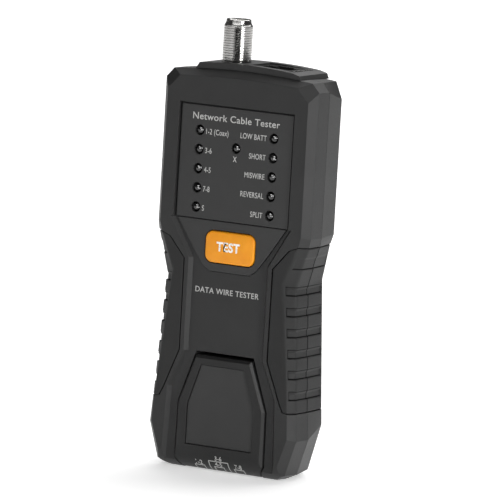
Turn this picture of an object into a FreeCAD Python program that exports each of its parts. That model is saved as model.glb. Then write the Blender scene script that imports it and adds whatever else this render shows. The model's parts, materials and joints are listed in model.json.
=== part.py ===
import FreeCAD, Part
import math
import os

# Hand-held network cable tester with a detachable remote terminator.
# Frame: +X to the right and -Y towards the user when the lamps face the user, +Z towards the coax jack.
# The origin is the middle of the bottom end, which the tester can stand on.  All sizes in mm.

os.makedirs("parts", exist_ok=True)
V = FreeCAD.Vector

# ---- overall sizes of the housing ---------------------------------------------------------------
WIDTH = 57.0                # across the shoulders
DEPTH = 26.4                # front face to back face
WALL = 2.6                  # shell wall
PARTING_DEPTH = 9.3         # parting plane, behind the front face
FRONT_BEVEL_DEPTH = 2.7     # how far the front bevel runs back
REAR_BEVEL_DEPTH = 7.2      # how far the rear bevel runs forward
SHUT_GAP = 0.1              # half of the fine line between the two shells
FOOT_TRIM = 0.05            # the shells run this far past the bottom end, and are trimmed flat there

# ---- what is stacked up the front, from the bottom end to the top -------------------------------
REMOTE_HEIGHT = 37.6        # remote terminator, docked in the bottom
CENTRE_HEIGHT = 27.5        # plain recessed panel over the remote
BEZEL_HEIGHT = 16.4         # raised pad around the button
PANEL_HEIGHT = 37.25        # lamp panel
CROWN_HEIGHT = 11.55        # plain band over the lamp panel

# ---- front details ------------------------------------------------------------------------------
PANEL_HALF = 21.45          # half width of the lamp panel
PANEL_RECESS = 0.8          # lamp panel and bezel lie this far below the front face
CENTRE_RECESS = 1.4         # centre panel below the front face
PLATE_THICK = 0.9           # lamp panel and bezel plates
PLATE_GAP = 0.15            # fine line around the bezel and under the lamp panel
PANEL_GROOVE = 0.7          # dark groove at the sides and top of the lamp panel
CENTRE_HALF = 13.8          # half width of the centre panel
CENTRE_SLOPE = 1.1          # width of its sloping border

# ---- test button and its switch -----------------------------------------------------------------
BUTTON_WIDTH = 18.2
BUTTON_HEIGHT = 10.2
BUTTON_CORNER = 2.6
BUTTON_PROUD = 0.8          # over the bezel
BUTTON_TRAVEL = 0.5
BUTTON_GAP = 0.3            # around the cap
FLANGE_MARGIN = 1.1         # flange behind the wall, past the cap
FLANGE_THICK = 0.8
FLANGE_CLEARANCE = 0.2      # behind the wall, and past the end of the plunger's travel
SWITCH_SIDE = 6.0
SWITCH_HEIGHT = 3.0
PLUNGER_R = 1.7
PLUNGER_GAP = 0.05

# ---- lamps --------------------------------------------------------------------------------------
LAMP_R = 1.5
LAMP_HOLE_GAP = 0.22
LAMP_FLANGE_R = 1.9
LAMP_FLANGE_THICK = 0.9
LAMP_PROUD = 0.1            # dome tip over the panel
LAMP_PITCH = 6.21
LAMP_COLUMN_X = 13.75
LAMP_ROWS = 5
LAMP_FIRST_DROP = 8.7       # first row under the panel's top edge
LAMP_CENTRE_DROP = 13.3     # centre lamp under the panel's top edge

# ---- boards -------------------------------------------------------------------------------------
BOARD_THICK = 1.6
BOARD_DEPTH = 7.6           # front of the main board, behind the front face
BOARD_HALF = 18.0
CONNECTOR_BOARD_HALF = 16.9
JOINT_GAP = 0.1             # between parts that only meet

# ---- coax jack: 3/8-32 thread -------------------------------------------------------------------
COAX_X = -7.5
COAX_Y = -2.4
COAX_R = 4.7                # thread major radius
COAX_LENGTH = 13.6          # above the connector plinth
COAX_ROOT_R = 4.4           # plain root inside the housing
COAX_NECK_R = 4.3            # foot of the chamfered tip
COAX_TIP_R = 3.8
COAX_TIP_HEIGHT = 1.1
COAX_BORE_R = 3.1
COAX_CONTACT_R = 0.7
COAX_NUT_ACROSS = 12.0
COAX_NUT_THICK = 2.2
COAX_GAP = 0.1

# ---- data jacks (8P8C) --------------------------------------------------------------------------
JACK_X = 9.2
JACK_Y = -1.8
JACK_WIDTH = 15.2
JACK_DEPTH = 11.8
JACK_LENGTH = 17.0
JACK_SHIELD = 0.3
JACK_SLACK = 0.15           # around a jack in its window
PORT_WIDTH = 11.8
PORT_DEPTH = 6.9
PORT_LENGTH = 13.0
PORT_NOTCH_WIDTH = 6.2
PORT_NOTCH_DEPTH = 1.9
CONTACT_PITCH = 1.02
CONTACT_WIDTH = 0.45
CONTACT_REACH = 2.0         # how far the contacts stand into the port

# ---- connector plinth ---------------------------------------------------------------------------
PLINTH_LEFT = 18.1
PLINTH_RIGHT = 21.4
PLINTH_FRONT = -10.6
PLINTH_BACK = 7.4
PLINTH_RISE = 2.0           # over the crown of the housing
PLINTH_ROOT = 4.4           # how far it reaches into the housing

# ---- battery bay --------------------------------------------------------------------------------
CELL_R = 5.2                # AAA cell
CELL_LENGTH = 43.6
CELL_NUB_R = 1.9
CELL_NUB_HEIGHT = 0.9
CELL_GAP = 0.4
SPRING_LENGTH = 3.0
SPRING_FOOT_R = 3.4
SPRING_TIP_R = 2.4
PLATE_STRIP = 0.5           # contact plates at the ends of the bay
BAY_WALL = 1.2
BAY_LOW = 6.6               # bay floor, above the remote dock
DOOR_THICK = 1.6
DOOR_GAP = 0.3
DOOR_LIP = 1.8
KNUCKLE_R = 1.1
KNUCKLE_X = 7.5
KNUCKLE_WIDTH = 5.0
LATCH_WIDTH = 9.0
LATCH_HEIGHT = 4.0

# ---- rubber grips -------------------------------------------------------------------------------
GRIP_THICK = 1.2
GRIP_GROOVE = 0.35
GRIP_BACK_REACH = 0.6       # how far the rubber laps onto the back face
GRIP_LOW = 22.3
NOTCH_DEPTH = 0.55
NOTCH_HEIGHT = 2.8
NOTCH_PITCH = 6.7
NOTCH_COUNT = 6
NOTCH_FIRST = 4.8           # first notch's lower edge under the foot of the bezel
NOTCH_LEAD = 1.4            # notches start this far outside the bevel's inner edge

# ---- remote terminator --------------------------------------------------------------------------
REMOTE_HALF = 16.5
REMOTE_TOP_HALF = 10.4
REMOTE_SHOULDER = 21.8
REMOTE_HEEL = 3.9
REMOTE_FOOT_HALF = 14.5
REMOTE_FOOT_GAP = 0.3       # remote's end above the bottom of the housing
REMOTE_THICK = 19.0
REMOTE_WALL = 1.3
REMOTE_BEVEL = 0.9
REMOTE_SPLIT = 8.6          # parting plane of the remote, behind its face
REMOTE_INLAY_RECESS = 0.45
REMOTE_BACK_SKIN = 0.8      # wall behind the remote's jack
REMOTE_POST_R = 3.6         # post that the remote's screw goes into
REMOTE_POST_DROP = 8.0      # post's axis under the remote's top
DOCK_GAP = 0.35
DOCK_TOP_GAP = 1.1
DOCK_WALL = 1.4
DOCK_FLOOR_GAP = 0.3
CHIN_HEIGHT = 8.0           # rounded slope at the bottom of the front
CHIN_DEPTH = 5.2

# ---- screws -------------------------------------------------------------------------------------
SCREW_R = 1.1
SCREW_HEAD_R = 2.2
SCREW_HEAD_THICK = 1.6
SCREW_GAP = 0.1
BOSS_R = 2.6
BOSS_LOW = (17.8, 33.5)
BOSS_HIGH_X = 19.9
BOSS_HIGH_DROP = 12.3

# ---- places worked out from the sizes -----------------------------------------------------------
HALF = WIDTH / 2
FRONT = -DEPTH / 2
BACK = DEPTH / 2
BEVEL_Y = FRONT + FRONT_BEVEL_DEPTH
PARTING = FRONT + PARTING_DEPTH
REAR_SIDE = BACK - REAR_BEVEL_DEPTH
BEZEL_LOW = REMOTE_HEIGHT + CENTRE_HEIGHT
PANEL_LOW = BEZEL_LOW + BEZEL_HEIGHT
PANEL_TOP = PANEL_LOW + PANEL_HEIGHT
HEIGHT = PANEL_TOP + CROWN_HEIGHT
PANEL_Y = FRONT + PANEL_RECESS
CENTRE_Y = FRONT + CENTRE_RECESS
INNER_Y = FRONT + WALL
WAIST = BEZEL_LOW - 1.7
GRIP_TOP = BEZEL_LOW + 11.2
SHOULDER = GRIP_TOP + 2.7
BOARD_Y = FRONT + BOARD_DEPTH
BUTTON_Z = BEZEL_LOW + 8.0
PLINTH_TOP = HEIGHT + PLINTH_RISE
REMOTE_BACK = FRONT + REMOTE_THICK
DOCK_FLOOR = REMOTE_BACK + DOCK_FLOOR_GAP
JACK_TOP = PLINTH_TOP - 0.5
CONNECTOR_BOARD_TOP = JACK_TOP - JACK_LENGTH
BAY_BOTTOM = REMOTE_HEIGHT + BAY_LOW
BAY_TOP = BAY_BOTTOM + CELL_LENGTH + CELL_NUB_HEIGHT + SPRING_LENGTH + 2 * PLATE_STRIP
BAY_HALF = 2 * CELL_R + 1.5 * CELL_GAP
DOOR_INNER = BACK - DOOR_THICK
CELL_Y = DOOR_INNER - CELL_GAP - CELL_R
BAY_FLOOR = CELL_Y - CELL_R - CELL_GAP
HINGE_Y = BACK - KNUCKLE_R - 0.1
HINGE_Z = BAY_BOTTOM - DOOR_LIP


# ---- building helpers ---------------------------------------------------------------------------
def box(x0, x1, y0, y1, z0, z1):
    """Block between two corners."""
    return Part.makeBox(x1 - x0, y1 - y0, z1 - z0, V(x0, y0, z0))


def rod(x, y, z, radius, length, way):
    """Cylinder from a point along a direction."""
    return Part.makeCylinder(radius, length, V(x, y, z), V(*way))


def fuse(shapes):
    """Join shapes into one solid and merge the faces that lie in one surface."""
    whole = shapes[0].multiFuse(shapes[1:]) if len(shapes) > 1 else shapes[0]
    return whole.removeSplitter()


def cut(shape, tools):
    """Take every tool away from a shape."""
    return shape.cut(Part.makeCompound(tools)) if tools else shape


def prism_y(points, y0, y1):
    """Polygon of (x, z) points carried along Y."""
    wire = Part.makePolygon([V(x, y0, z) for x, z in points + points[:1]])
    return Part.Face(wire).extrude(V(0, y1 - y0, 0))


def taper_y(points0, y0, points1, y1):
    """Ruled solid between two polygons of (x, z) points."""
    wires = []
    for points, y in ((points0, y0), (points1, y1)):
        wires.append(Part.makePolygon([V(x, y, z) for x, z in points + points[:1]]))
    return Part.makeLoft(wires, True, True)


def mirrored(points):
    """Right-hand outline points and their mirror images, as one closed outline."""
    return points + [(-x, z) for x, z in reversed(points)]


def mirror_x(shape):
    """Left-hand copy of a right-hand shape."""
    return shape.mirror(V(0, 0, 0), V(1, 0, 0))


def rounded_plate(x, z, width, height, radius, y0, y1):
    """Rectangle with round corners, centred at (x, z), carried along Y."""
    plate = box(x - width / 2, x + width / 2, y0, y1, z - height / 2, z + height / 2)
    corners = [edge for edge in plate.Edges if abs(edge.tangentAt(edge.FirstParameter).y) > 0.99]
    return plate.makeFillet(radius, corners)


def write(name, shape):
    """Write one sub-part."""
    shape.exportStep(f"parts/{name}.step")
    print(f"{name:24s} solids {len(shape.Solids)}  volume {shape.Volume:9.1f}  valid {shape.isValid()}")


# ---- outline of the housing ---------------------------------------------------------------------
def outline(level):
    """Right-hand outline, foot to ear, as (half width, height), and the height of the arched crown."""
    foot = -FOOT_TRIM
    rows = {
        "front": ([(12.0, foot), (7.0, 2.5), (3.1, 14.2), (3.5, GRIP_LOW), (8.3, WAIST + 0.4),
                   (2.9, GRIP_TOP + 0.5), (2.2, SHOULDER + 0.5), (2.4, HEIGHT - 7.7), (6.75, HEIGHT - 3.2)],
                  HEIGHT - 2.5),
        "bevel": ([(9.4, foot), (4.6, 2.0), (1.0, 13.6), (1.65, GRIP_LOW), (4.1, WAIST),
                   (0.5, GRIP_TOP), (0.0, SHOULDER), (0.0, HEIGHT - 4.4), (2.75, HEIGHT - 1.4)],
                  HEIGHT),
        "parting": ([(8.0, foot), (4.0, 1.9), (0.5, 13.6), (1.4, GRIP_LOW), (3.8, WAIST),
                     (0.3, GRIP_TOP), (0.0, SHOULDER), (0.0, HEIGHT - 4.6), (2.5, HEIGHT - 1.5)],
                    HEIGHT),
        "rear": ([(9.5, foot), (5.6, 2.3), (1.5, 17.5), (1.8, GRIP_LOW), (4.3, WAIST + 1.0),
                  (2.1, GRIP_TOP), (1.1, SHOULDER + 0.5), (1.1, HEIGHT - 7.3), (3.5, HEIGHT - 1.7)],
                 HEIGHT - 0.4),
        "back": ([(11.5, 1.5), (10.0, 4.2), (6.6, 18.5), (6.9, GRIP_LOW + 0.7), (9.4, WAIST + 1.0),
                  (7.2, GRIP_TOP), (6.0, SHOULDER + 0.5), (6.0, HEIGHT - 9.0), (8.2, HEIGHT - 4.8)],
                 HEIGHT - 3.8),
    }
    points, crown = rows[level]
    return [(HALF - inset, z) for inset, z in points], crown


def ring(level, y, inset=0.0):
    """Closed wire of one outline at one depth, moved in by inset."""
    points, crown = outline(level)
    moved = []
    for number, (x, z) in enumerate(points):
        rise = inset if number < 2 else (-inset if number > 6 else 0.0)
        moved.append((x - inset, z + rise))
    right = [V(x, y, z) for x, z in moved]
    left = [V(-x, y, z) for x, z in reversed(moved)]
    path = right + [None] + left
    edges = [Part.makeLine(left[-1], right[0])]
    for start, end in zip(path, path[1:]):
        if start is not None and end is not None:
            edges.append(Part.makeLine(start, end))
    edges.insert(len(right), Part.Arc(right[-1], V(0, y, crown - inset), left[0]).toShape())
    return Part.Wire(edges)


def stock_below():
    """Everything below the bottom end."""
    return box(-2 * HALF, 2 * HALF, -DEPTH, DEPTH, -5.0, 0.0)


def front_body(inset, depth_inset):
    """Front half of the housing's solid envelope, moved in by inset."""
    wires = [ring("front", FRONT + depth_inset, inset), ring("bevel", BEVEL_Y + depth_inset / 2, inset),
             ring("parting", PARTING, inset)]
    return Part.makeLoft(wires, True, True).cut(stock_below())


def rear_body(inset, depth_inset):
    """Rear half of the housing's solid envelope, moved in by inset."""
    wires = [ring("parting", PARTING, inset), ring("rear", REAR_SIDE - depth_inset / 2, inset),
             ring("back", BACK - depth_inset, inset)]
    return Part.makeLoft(wires, True, True).cut(stock_below())


def chin_cut(half):
    """Rounded slope along the bottom of the front."""
    low = V(-half, FRONT + CHIN_DEPTH, 0)
    high = V(-half, FRONT, CHIN_HEIGHT)
    middle = V(-half, FRONT + 0.2 * CHIN_DEPTH, 0.37 * CHIN_HEIGHT)
    outside = [V(-half, FRONT - 1, CHIN_HEIGHT), V(-half, FRONT - 1, -1), V(-half, FRONT + CHIN_DEPTH, -1)]
    edges = [Part.Arc(low, middle, high).toShape(), Part.makeLine(high, outside[0]),
             Part.makeLine(outside[0], outside[1]), Part.makeLine(outside[1], outside[2]),
             Part.makeLine(outside[2], low)]
    return Part.Face(Part.Wire(edges)).extrude(V(2 * half, 0, 0))


# ---- remote and its dock ------------------------------------------------------------------------
def remote_outline(out, top_out=None):
    """Right-hand outline of the remote, grown by out on the sides and by top_out at its top."""
    top_out = out if top_out is None else top_out
    foot = REMOTE_FOOT_GAP if out <= 0 else 0.0
    return [(REMOTE_FOOT_HALF + out, foot), (REMOTE_HALF + out, REMOTE_HEEL),
            (REMOTE_HALF - 0.2 + out, REMOTE_SHOULDER), (REMOTE_TOP_HALF + out, REMOTE_HEIGHT + top_out)]


def dock_pocket():
    """Space cut for the remote, open to the front and to the bottom end."""
    points = remote_outline(DOCK_GAP, DOCK_TOP_GAP)
    points = [(points[0][0], -1.0)] + points
    return prism_y(mirrored(points), FRONT - 1, DOCK_FLOOR)


def dock_block(extra):
    """Block around the dock, a wall thicker than the pocket and grown by extra."""
    out = DOCK_GAP + DOCK_WALL + extra
    points = remote_outline(out, DOCK_TOP_GAP + DOCK_WALL + extra)
    points = [(points[0][0], -extra)] + points[1:]
    return prism_y(mirrored(points), FRONT, DOCK_FLOOR + DOCK_WALL + extra)


# ---- shells -------------------------------------------------------------------------------------
def grip_region(margin, y0, y1, inner):
    """Right-hand side of the housing that the rubber covers, within an (x, z) outline."""
    low = GRIP_LOW - margin
    top = GRIP_TOP + margin
    far = HALF + 5
    if inner == "front":
        insets = [(3.0, top), (6.5, top - 1.4), (12.2, BEZEL_LOW + 3.3), (12.3, REMOTE_HEIGHT + 0.9),
                  (7.0, low + 3.2), (5.6, low + 0.5), (3.2, low)]
        points = [(far, top)]
        points += [(HALF - inset - margin, z) for inset, z in insets]
        points.append((far, low))
    else:
        back = outline("back")[0]
        points = [(far, top)]
        for x, z in reversed(back[3:6]):
            points.append((x - GRIP_BACK_REACH - margin, min(max(z, low), top)))
        points[1] = (points[1][0], top)
        points[-1] = (points[-1][0], low)
        points.append((far, low))
    return prism_y(points, y0, y1)


def notches(inner_body):
    """Finger notches around the right-hand grip, outside a slightly smaller body."""
    slabs = []
    inner_edge = outline("front")[0]
    for number in range(NOTCH_COUNT):
        low = BEZEL_LOW - NOTCH_FIRST - number * NOTCH_PITCH
        share = (WAIST - low) / (WAIST - GRIP_LOW)
        start = inner_edge[4][0] + share * (inner_edge[3][0] - inner_edge[4][0]) + NOTCH_LEAD
        slabs.append(box(start, HALF + 5, FRONT, REAR_SIDE, low, low + NOTCH_HEIGHT))
    return Part.makeCompound(slabs).cut(inner_body)


def make_grips():
    """Four soft grips laid in pockets of the two shells."""
    whole = (("front", front_body, FRONT - 1, PARTING - SHUT_GAP),
             ("rear", rear_body, PARTING + SHUT_GAP, BACK + 1))
    made = {}
    for name, body, y0, y1 in whole:
        skin = body(0, 0).cut(body(GRIP_THICK, GRIP_THICK))
        skin = skin.common(grip_region(-GRIP_GROOVE, y0, y1, name))
        right = skin.cut(notches(body(NOTCH_DEPTH, NOTCH_DEPTH)))
        made[f"grip_{name}_right"] = right
        made[f"grip_{name}_left"] = mirror_x(right)
    return made


def bosses(y0, y1, radius):
    """Four posts at the screw places."""
    places = [BOSS_LOW, (BOSS_HIGH_X, HEIGHT - BOSS_HIGH_DROP)]
    posts = []
    for x, z in places:
        for side in (1, -1):
            posts.append(rod(side * x, y0, z, radius, y1 - y0, (0, 1, 0)))
    return posts


def lamp_places():
    """Every lamp's (x, z): two columns and the centre lamp."""
    places = []
    for side in (-1, 1):
        for row in range(LAMP_ROWS):
            places.append((side * LAMP_COLUMN_X, PANEL_TOP - LAMP_FIRST_DROP - row * LAMP_PITCH))
    places.append((0.0, PANEL_TOP - LAMP_CENTRE_DROP))
    return places


def lamp_holes(y0, y1):
    """Holes that the lamps pass through."""
    radius = LAMP_R + LAMP_HOLE_GAP
    return [rod(x, y0, z, radius, y1 - y0, (0, 1, 0)) for x, z in lamp_places()]


def bezel_outline(out):
    """Right-hand outline of the raised pad around the button, foot to top."""
    return [(7.4 + out, BEZEL_LOW - out), (9.9 + out, BEZEL_LOW + 1.7), (13.2 + out, BEZEL_LOW + 6.0),
            (PANEL_HALF - 1.2 + out, PANEL_LOW - PLATE_GAP)]


def centre_outline(out):
    """Right-hand outline of the recessed panel between the grips, bottom to top."""
    return [(20.2 + out, -1.0), (19.1 + out, 26.3), (CENTRE_HALF + out, REMOTE_HEIGHT + 0.9),
            (CENTRE_HALF + out, BEZEL_LOW + 3.6), (PANEL_HALF + out, PANEL_LOW)]


def button_space(gap, y0, y1):
    """The button cap's outline, grown by gap."""
    return rounded_plate(0, BUTTON_Z, BUTTON_WIDTH + 2 * gap, BUTTON_HEIGHT + 2 * gap,
                         BUTTON_CORNER + gap, y0, y1)


def plinth_slot(gap, y0, y1):
    """Opening in the top of the shells for the connector plinth's root."""
    return box(-PLINTH_LEFT - gap + 1.5, PLINTH_RIGHT + gap - 1.5, y0, y1, HEIGHT - PLINTH_ROOT, HEIGHT + 2)


def make_front_shell():
    """Front half: face with its recesses, dock for the remote, and screw posts."""
    envelope = front_body(0, 0)
    whole = fuse([envelope, rear_body(0, 0)])
    core = front_body(GRIP_THICK, GRIP_THICK)
    shell = cut(envelope, [front_body(WALL, WALL)])
    posts = Part.makeCompound(bosses(INNER_Y - 0.5, PARTING - SHUT_GAP, BOSS_R)).common(envelope)
    shell = fuse([shell, posts, dock_block(0).common(whole)])
    skin = Part.makeCompound([grip_region(0, FRONT - 1, PARTING, "front")]).cut(core)
    panel = box(-PANEL_HALF, PANEL_HALF, FRONT - 1, PANEL_Y + PLATE_THICK, PANEL_LOW, PANEL_TOP)
    centre = taper_y(mirrored(centre_outline(CENTRE_SLOPE)), FRONT, mirrored(centre_outline(0)), CENTRE_Y)
    bezel = prism_y(mirrored(bezel_outline(PLATE_GAP)), FRONT - 1, PANEL_Y + PLATE_THICK)
    line = box(-HALF - 1, HALF + 1, PARTING - SHUT_GAP, PARTING, -1, HEIGHT + 1).cut(dock_block(0))
    tools = [skin, mirror_x(skin), panel, centre, bezel, dock_pocket(), chin_cut(HALF + 1), line]
    tools += [button_space(BUTTON_GAP, FRONT - 1, INNER_Y + 1)]
    tools += lamp_holes(FRONT - 1, INNER_Y + 1)
    tools += bosses(PARTING - 6.0, PARTING, SCREW_R + SCREW_GAP / 2)
    tools += [plinth_slot(JOINT_GAP, PLINTH_FRONT + 1.5 - JOINT_GAP, PARTING + 1)]
    return cut(shell, tools)


def bay_block(out, y0):
    """Block of the battery bay, grown by out."""
    return box(-BAY_HALF - out, BAY_HALF + out, y0, BACK - WALL, BAY_BOTTOM - out, BAY_TOP + out)


def make_rear_shell():
    """Rear half: battery bay, hinge sockets, screw posts."""
    envelope = rear_body(0, 0)
    core = rear_body(GRIP_THICK, GRIP_THICK)
    shell = cut(envelope, [rear_body(WALL, WALL)])
    posts = Part.makeCompound(bosses(PARTING + SHUT_GAP, BACK - WALL + 0.5, BOSS_R)).common(envelope)
    shell = fuse([shell, posts, bay_block(BAY_WALL, BAY_FLOOR - BAY_WALL)])
    skin = grip_region(0, PARTING, BACK + 1, "rear").cut(core)
    line = box(-HALF - 1, HALF + 1, PARTING, PARTING + SHUT_GAP, -1, HEIGHT + 1)
    bay = box(-BAY_HALF, BAY_HALF, BAY_FLOOR, BACK + 1, BAY_BOTTOM, BAY_TOP)
    seat_half = BAY_HALF + DOOR_LIP + DOOR_GAP
    seat_top = BAY_TOP + DOOR_LIP + DOOR_GAP
    seat = box(-seat_half, seat_half, DOOR_INNER - JOINT_GAP, BACK + 1, BAY_BOTTOM - 0.9, seat_top)
    latch = box(-LATCH_WIDTH / 2 - DOOR_GAP, LATCH_WIDTH / 2 + DOOR_GAP, DOOR_INNER - JOINT_GAP, BACK + 1,
                BAY_TOP, seat_top + LATCH_HEIGHT)
    sockets = []
    for side in (-1, 1):
        x = side * KNUCKLE_X
        reach = KNUCKLE_WIDTH / 2 + DOOR_GAP
        socket_r = KNUCKLE_R + DOOR_GAP
        sockets.append(rod(x - reach, HINGE_Y, HINGE_Z, socket_r, 2 * reach, (1, 0, 0)))
        sockets.append(box(x - reach, x + reach, HINGE_Y, BACK + 1, HINGE_Z - socket_r, BAY_BOTTOM))
        sockets.append(box(x - reach, x + reach, DOOR_INNER - 0.3, BACK + 1, HINGE_Z, BAY_BOTTOM))
    tools = [skin, mirror_x(skin), line, bay, seat, latch, dock_block(SHUT_GAP)] + sockets
    tools += bosses(PARTING - 1, BACK + 1, SCREW_R + SCREW_GAP)
    tools += bosses(REAR_SIDE, BACK + 1, SCREW_HEAD_R + 2 * SCREW_GAP)
    tools += [plinth_slot(JOINT_GAP, PARTING - 1, PLINTH_BACK - 1.5 + JOINT_GAP)]
    return cut(shell, tools)


def make_screws():
    """Four case screws, driven from the back."""
    made = {}
    places = [BOSS_LOW, (BOSS_HIGH_X, HEIGHT - BOSS_HIGH_DROP)]
    number = 0
    for x, z in places:
        for side in (1, -1):
            number += 1
            shank = rod(side * x, PARTING - 5.5, z, SCREW_R, REAR_SIDE - PARTING + 5.6, (0, 1, 0))
            head = rod(side * x, REAR_SIDE, z, SCREW_HEAD_R, SCREW_HEAD_THICK, (0, 1, 0))
            bar = box(-1.4, 1.4, REAR_SIDE + 0.7, REAR_SIDE + 3, -0.25, 0.25)
            turned = bar.copy()
            turned.rotate(V(0, 0, 0), V(0, 1, 0), 90)
            cross = fuse([bar, turned])
            cross.translate(V(side * x, 0, z))
            made[f"case_screw_{number}"] = fuse([shank, head]).cut(cross)
    return made


# ---- plates, button, lamps, boards --------------------------------------------------------------
def make_led_panel():
    """Lamp panel plate with eleven holes."""
    half = PANEL_HALF - PANEL_GROOVE
    plate = box(-half, half, PANEL_Y, PANEL_Y + PLATE_THICK, PANEL_LOW + PLATE_GAP, PANEL_TOP - PANEL_GROOVE)
    return cut(plate, lamp_holes(PANEL_Y - 1, PANEL_Y + 2))


def make_bezel():
    """Raised pad around the button."""
    plate = prism_y(mirrored(bezel_outline(0)), PANEL_Y, PANEL_Y + PLATE_THICK)
    return plate.cut(button_space(BUTTON_GAP, PANEL_Y - 1, PANEL_Y + 2))


def make_button():
    """Button cap, with the flange that keeps it behind the wall."""
    front = PANEL_Y - BUTTON_PROUD
    flange_y = INNER_Y + FLANGE_CLEARANCE
    cap = button_space(0, front, flange_y + FLANGE_THICK)
    rim = [edge for edge in cap.Edges if edge.BoundBox.YMax < front + 0.01]
    cap = cap.makeFillet(0.5, rim)
    margin = 2 * FLANGE_MARGIN
    flange = rounded_plate(0, BUTTON_Z, BUTTON_WIDTH + margin, BUTTON_HEIGHT + margin, BUTTON_CORNER,
                           flange_y, flange_y + FLANGE_THICK)
    return fuse([cap, flange])


def make_switch():
    """Tact switch body and the plunger that the button pushes."""
    half = SWITCH_SIDE / 2
    top = BOARD_Y - SWITCH_HEIGHT
    body = box(-half, half, top, BOARD_Y, BUTTON_Z - half, BUTTON_Z + half)
    bore_depth = 1.6
    bore = rod(0, top - 1, BUTTON_Z, PLUNGER_R + PLUNGER_GAP, 1 + bore_depth, (0, 1, 0))
    button_back = INNER_Y + FLANGE_CLEARANCE + FLANGE_THICK
    length = top + bore_depth - BUTTON_TRAVEL - FLANGE_CLEARANCE - button_back
    plunger = rod(0, button_back, BUTTON_Z, PLUNGER_R, length, (0, 1, 0))
    return body.cut(bore), plunger


def make_lamps():
    """Eleven round lamps standing on the main board."""
    made = {}
    tip = PANEL_Y - LAMP_PROUD
    for number, (x, z) in enumerate(lamp_places(), 1):
        stem = rod(x, tip + LAMP_R, z, LAMP_R, BOARD_Y - tip - LAMP_R, (0, 1, 0))
        dome = Part.makeSphere(LAMP_R, V(x, tip + LAMP_R, z))
        flange = rod(x, BOARD_Y - LAMP_FLANGE_THICK, z, LAMP_FLANGE_R, LAMP_FLANGE_THICK, (0, 1, 0))
        made[f"lamp_{number:02d}"] = fuse([stem, dome, flange])
    return made


def make_boards():
    """Main board behind the panel, connector board across the top, and the chip."""
    top = CONNECTOR_BOARD_TOP - BOARD_THICK - JOINT_GAP
    low = REMOTE_HEIGHT + DOCK_TOP_GAP + DOCK_WALL + 1.0
    main = box(-BOARD_HALF, BOARD_HALF, BOARD_Y, BOARD_Y + BOARD_THICK, low, top)
    front = BOARD_Y - 2.0
    rear = PLINTH_BACK
    link = box(-CONNECTOR_BOARD_HALF, CONNECTOR_BOARD_HALF, front, rear,
               CONNECTOR_BOARD_TOP - BOARD_THICK, CONNECTOR_BOARD_TOP)
    chip_z = PANEL_LOW + 8.0
    chip = box(-4.5, 4.5, BOARD_Y + BOARD_THICK, BOARD_Y + BOARD_THICK + 1.6, chip_z, chip_z + 9.0)
    header_y = BOARD_Y + BOARD_THICK
    header = box(-10.0, 10.0, header_y, header_y + 2.2, top - 3.0, CONNECTOR_BOARD_TOP - BOARD_THICK)
    return main, link, chip, header


# ---- top connectors -----------------------------------------------------------------------------
def make_plinth():
    """Raised platform that carries the two connectors."""
    base = HEIGHT - 1.3
    left_top = V(-PLINTH_LEFT + 1.7, PLINTH_FRONT, PLINTH_TOP - 0.7)
    right_top = V(PLINTH_RIGHT - 3.4, PLINTH_FRONT, PLINTH_TOP - 0.9)
    corner = V(PLINTH_RIGHT - 0.8, PLINTH_FRONT, PLINTH_TOP - 1.6)
    right_base = V(PLINTH_RIGHT, PLINTH_FRONT, base)
    left_base = V(-PLINTH_LEFT, PLINTH_FRONT, base)
    arc = Part.Arc(left_top, V(1.2, PLINTH_FRONT, PLINTH_TOP), right_top).toShape()
    edges = [Part.makeLine(left_base, left_top), arc, Part.makeLine(right_top, corner),
             Part.makeLine(corner, right_base), Part.makeLine(right_base, left_base)]
    cap = Part.Face(Part.Wire(edges)).extrude(V(0, PLINTH_BACK - PLINTH_FRONT, 0))
    cap = cap.cut(fuse([front_body(-0.02, 0), rear_body(-0.02, 0)]))
    root = plinth_slot(0, PLINTH_FRONT + 1.5, PLINTH_BACK - 1.5)
    root = root.common(box(-HALF, HALF, FRONT, BACK, HEIGHT - PLINTH_ROOT, HEIGHT))
    half = JACK_WIDTH / 2 + JACK_SHIELD + JACK_SLACK
    deep = JACK_DEPTH / 2 + JACK_SHIELD + JACK_SLACK
    hole = rod(COAX_X, COAX_Y, HEIGHT - 10, COAX_R + COAX_GAP, 20, (0, 0, 1))
    window = box(JACK_X - half, JACK_X + half, JACK_Y - deep, JACK_Y + deep, HEIGHT - 10, HEIGHT + 10)
    return fuse([cap, root]).cut(Part.makeCompound([hole, window]))


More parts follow.
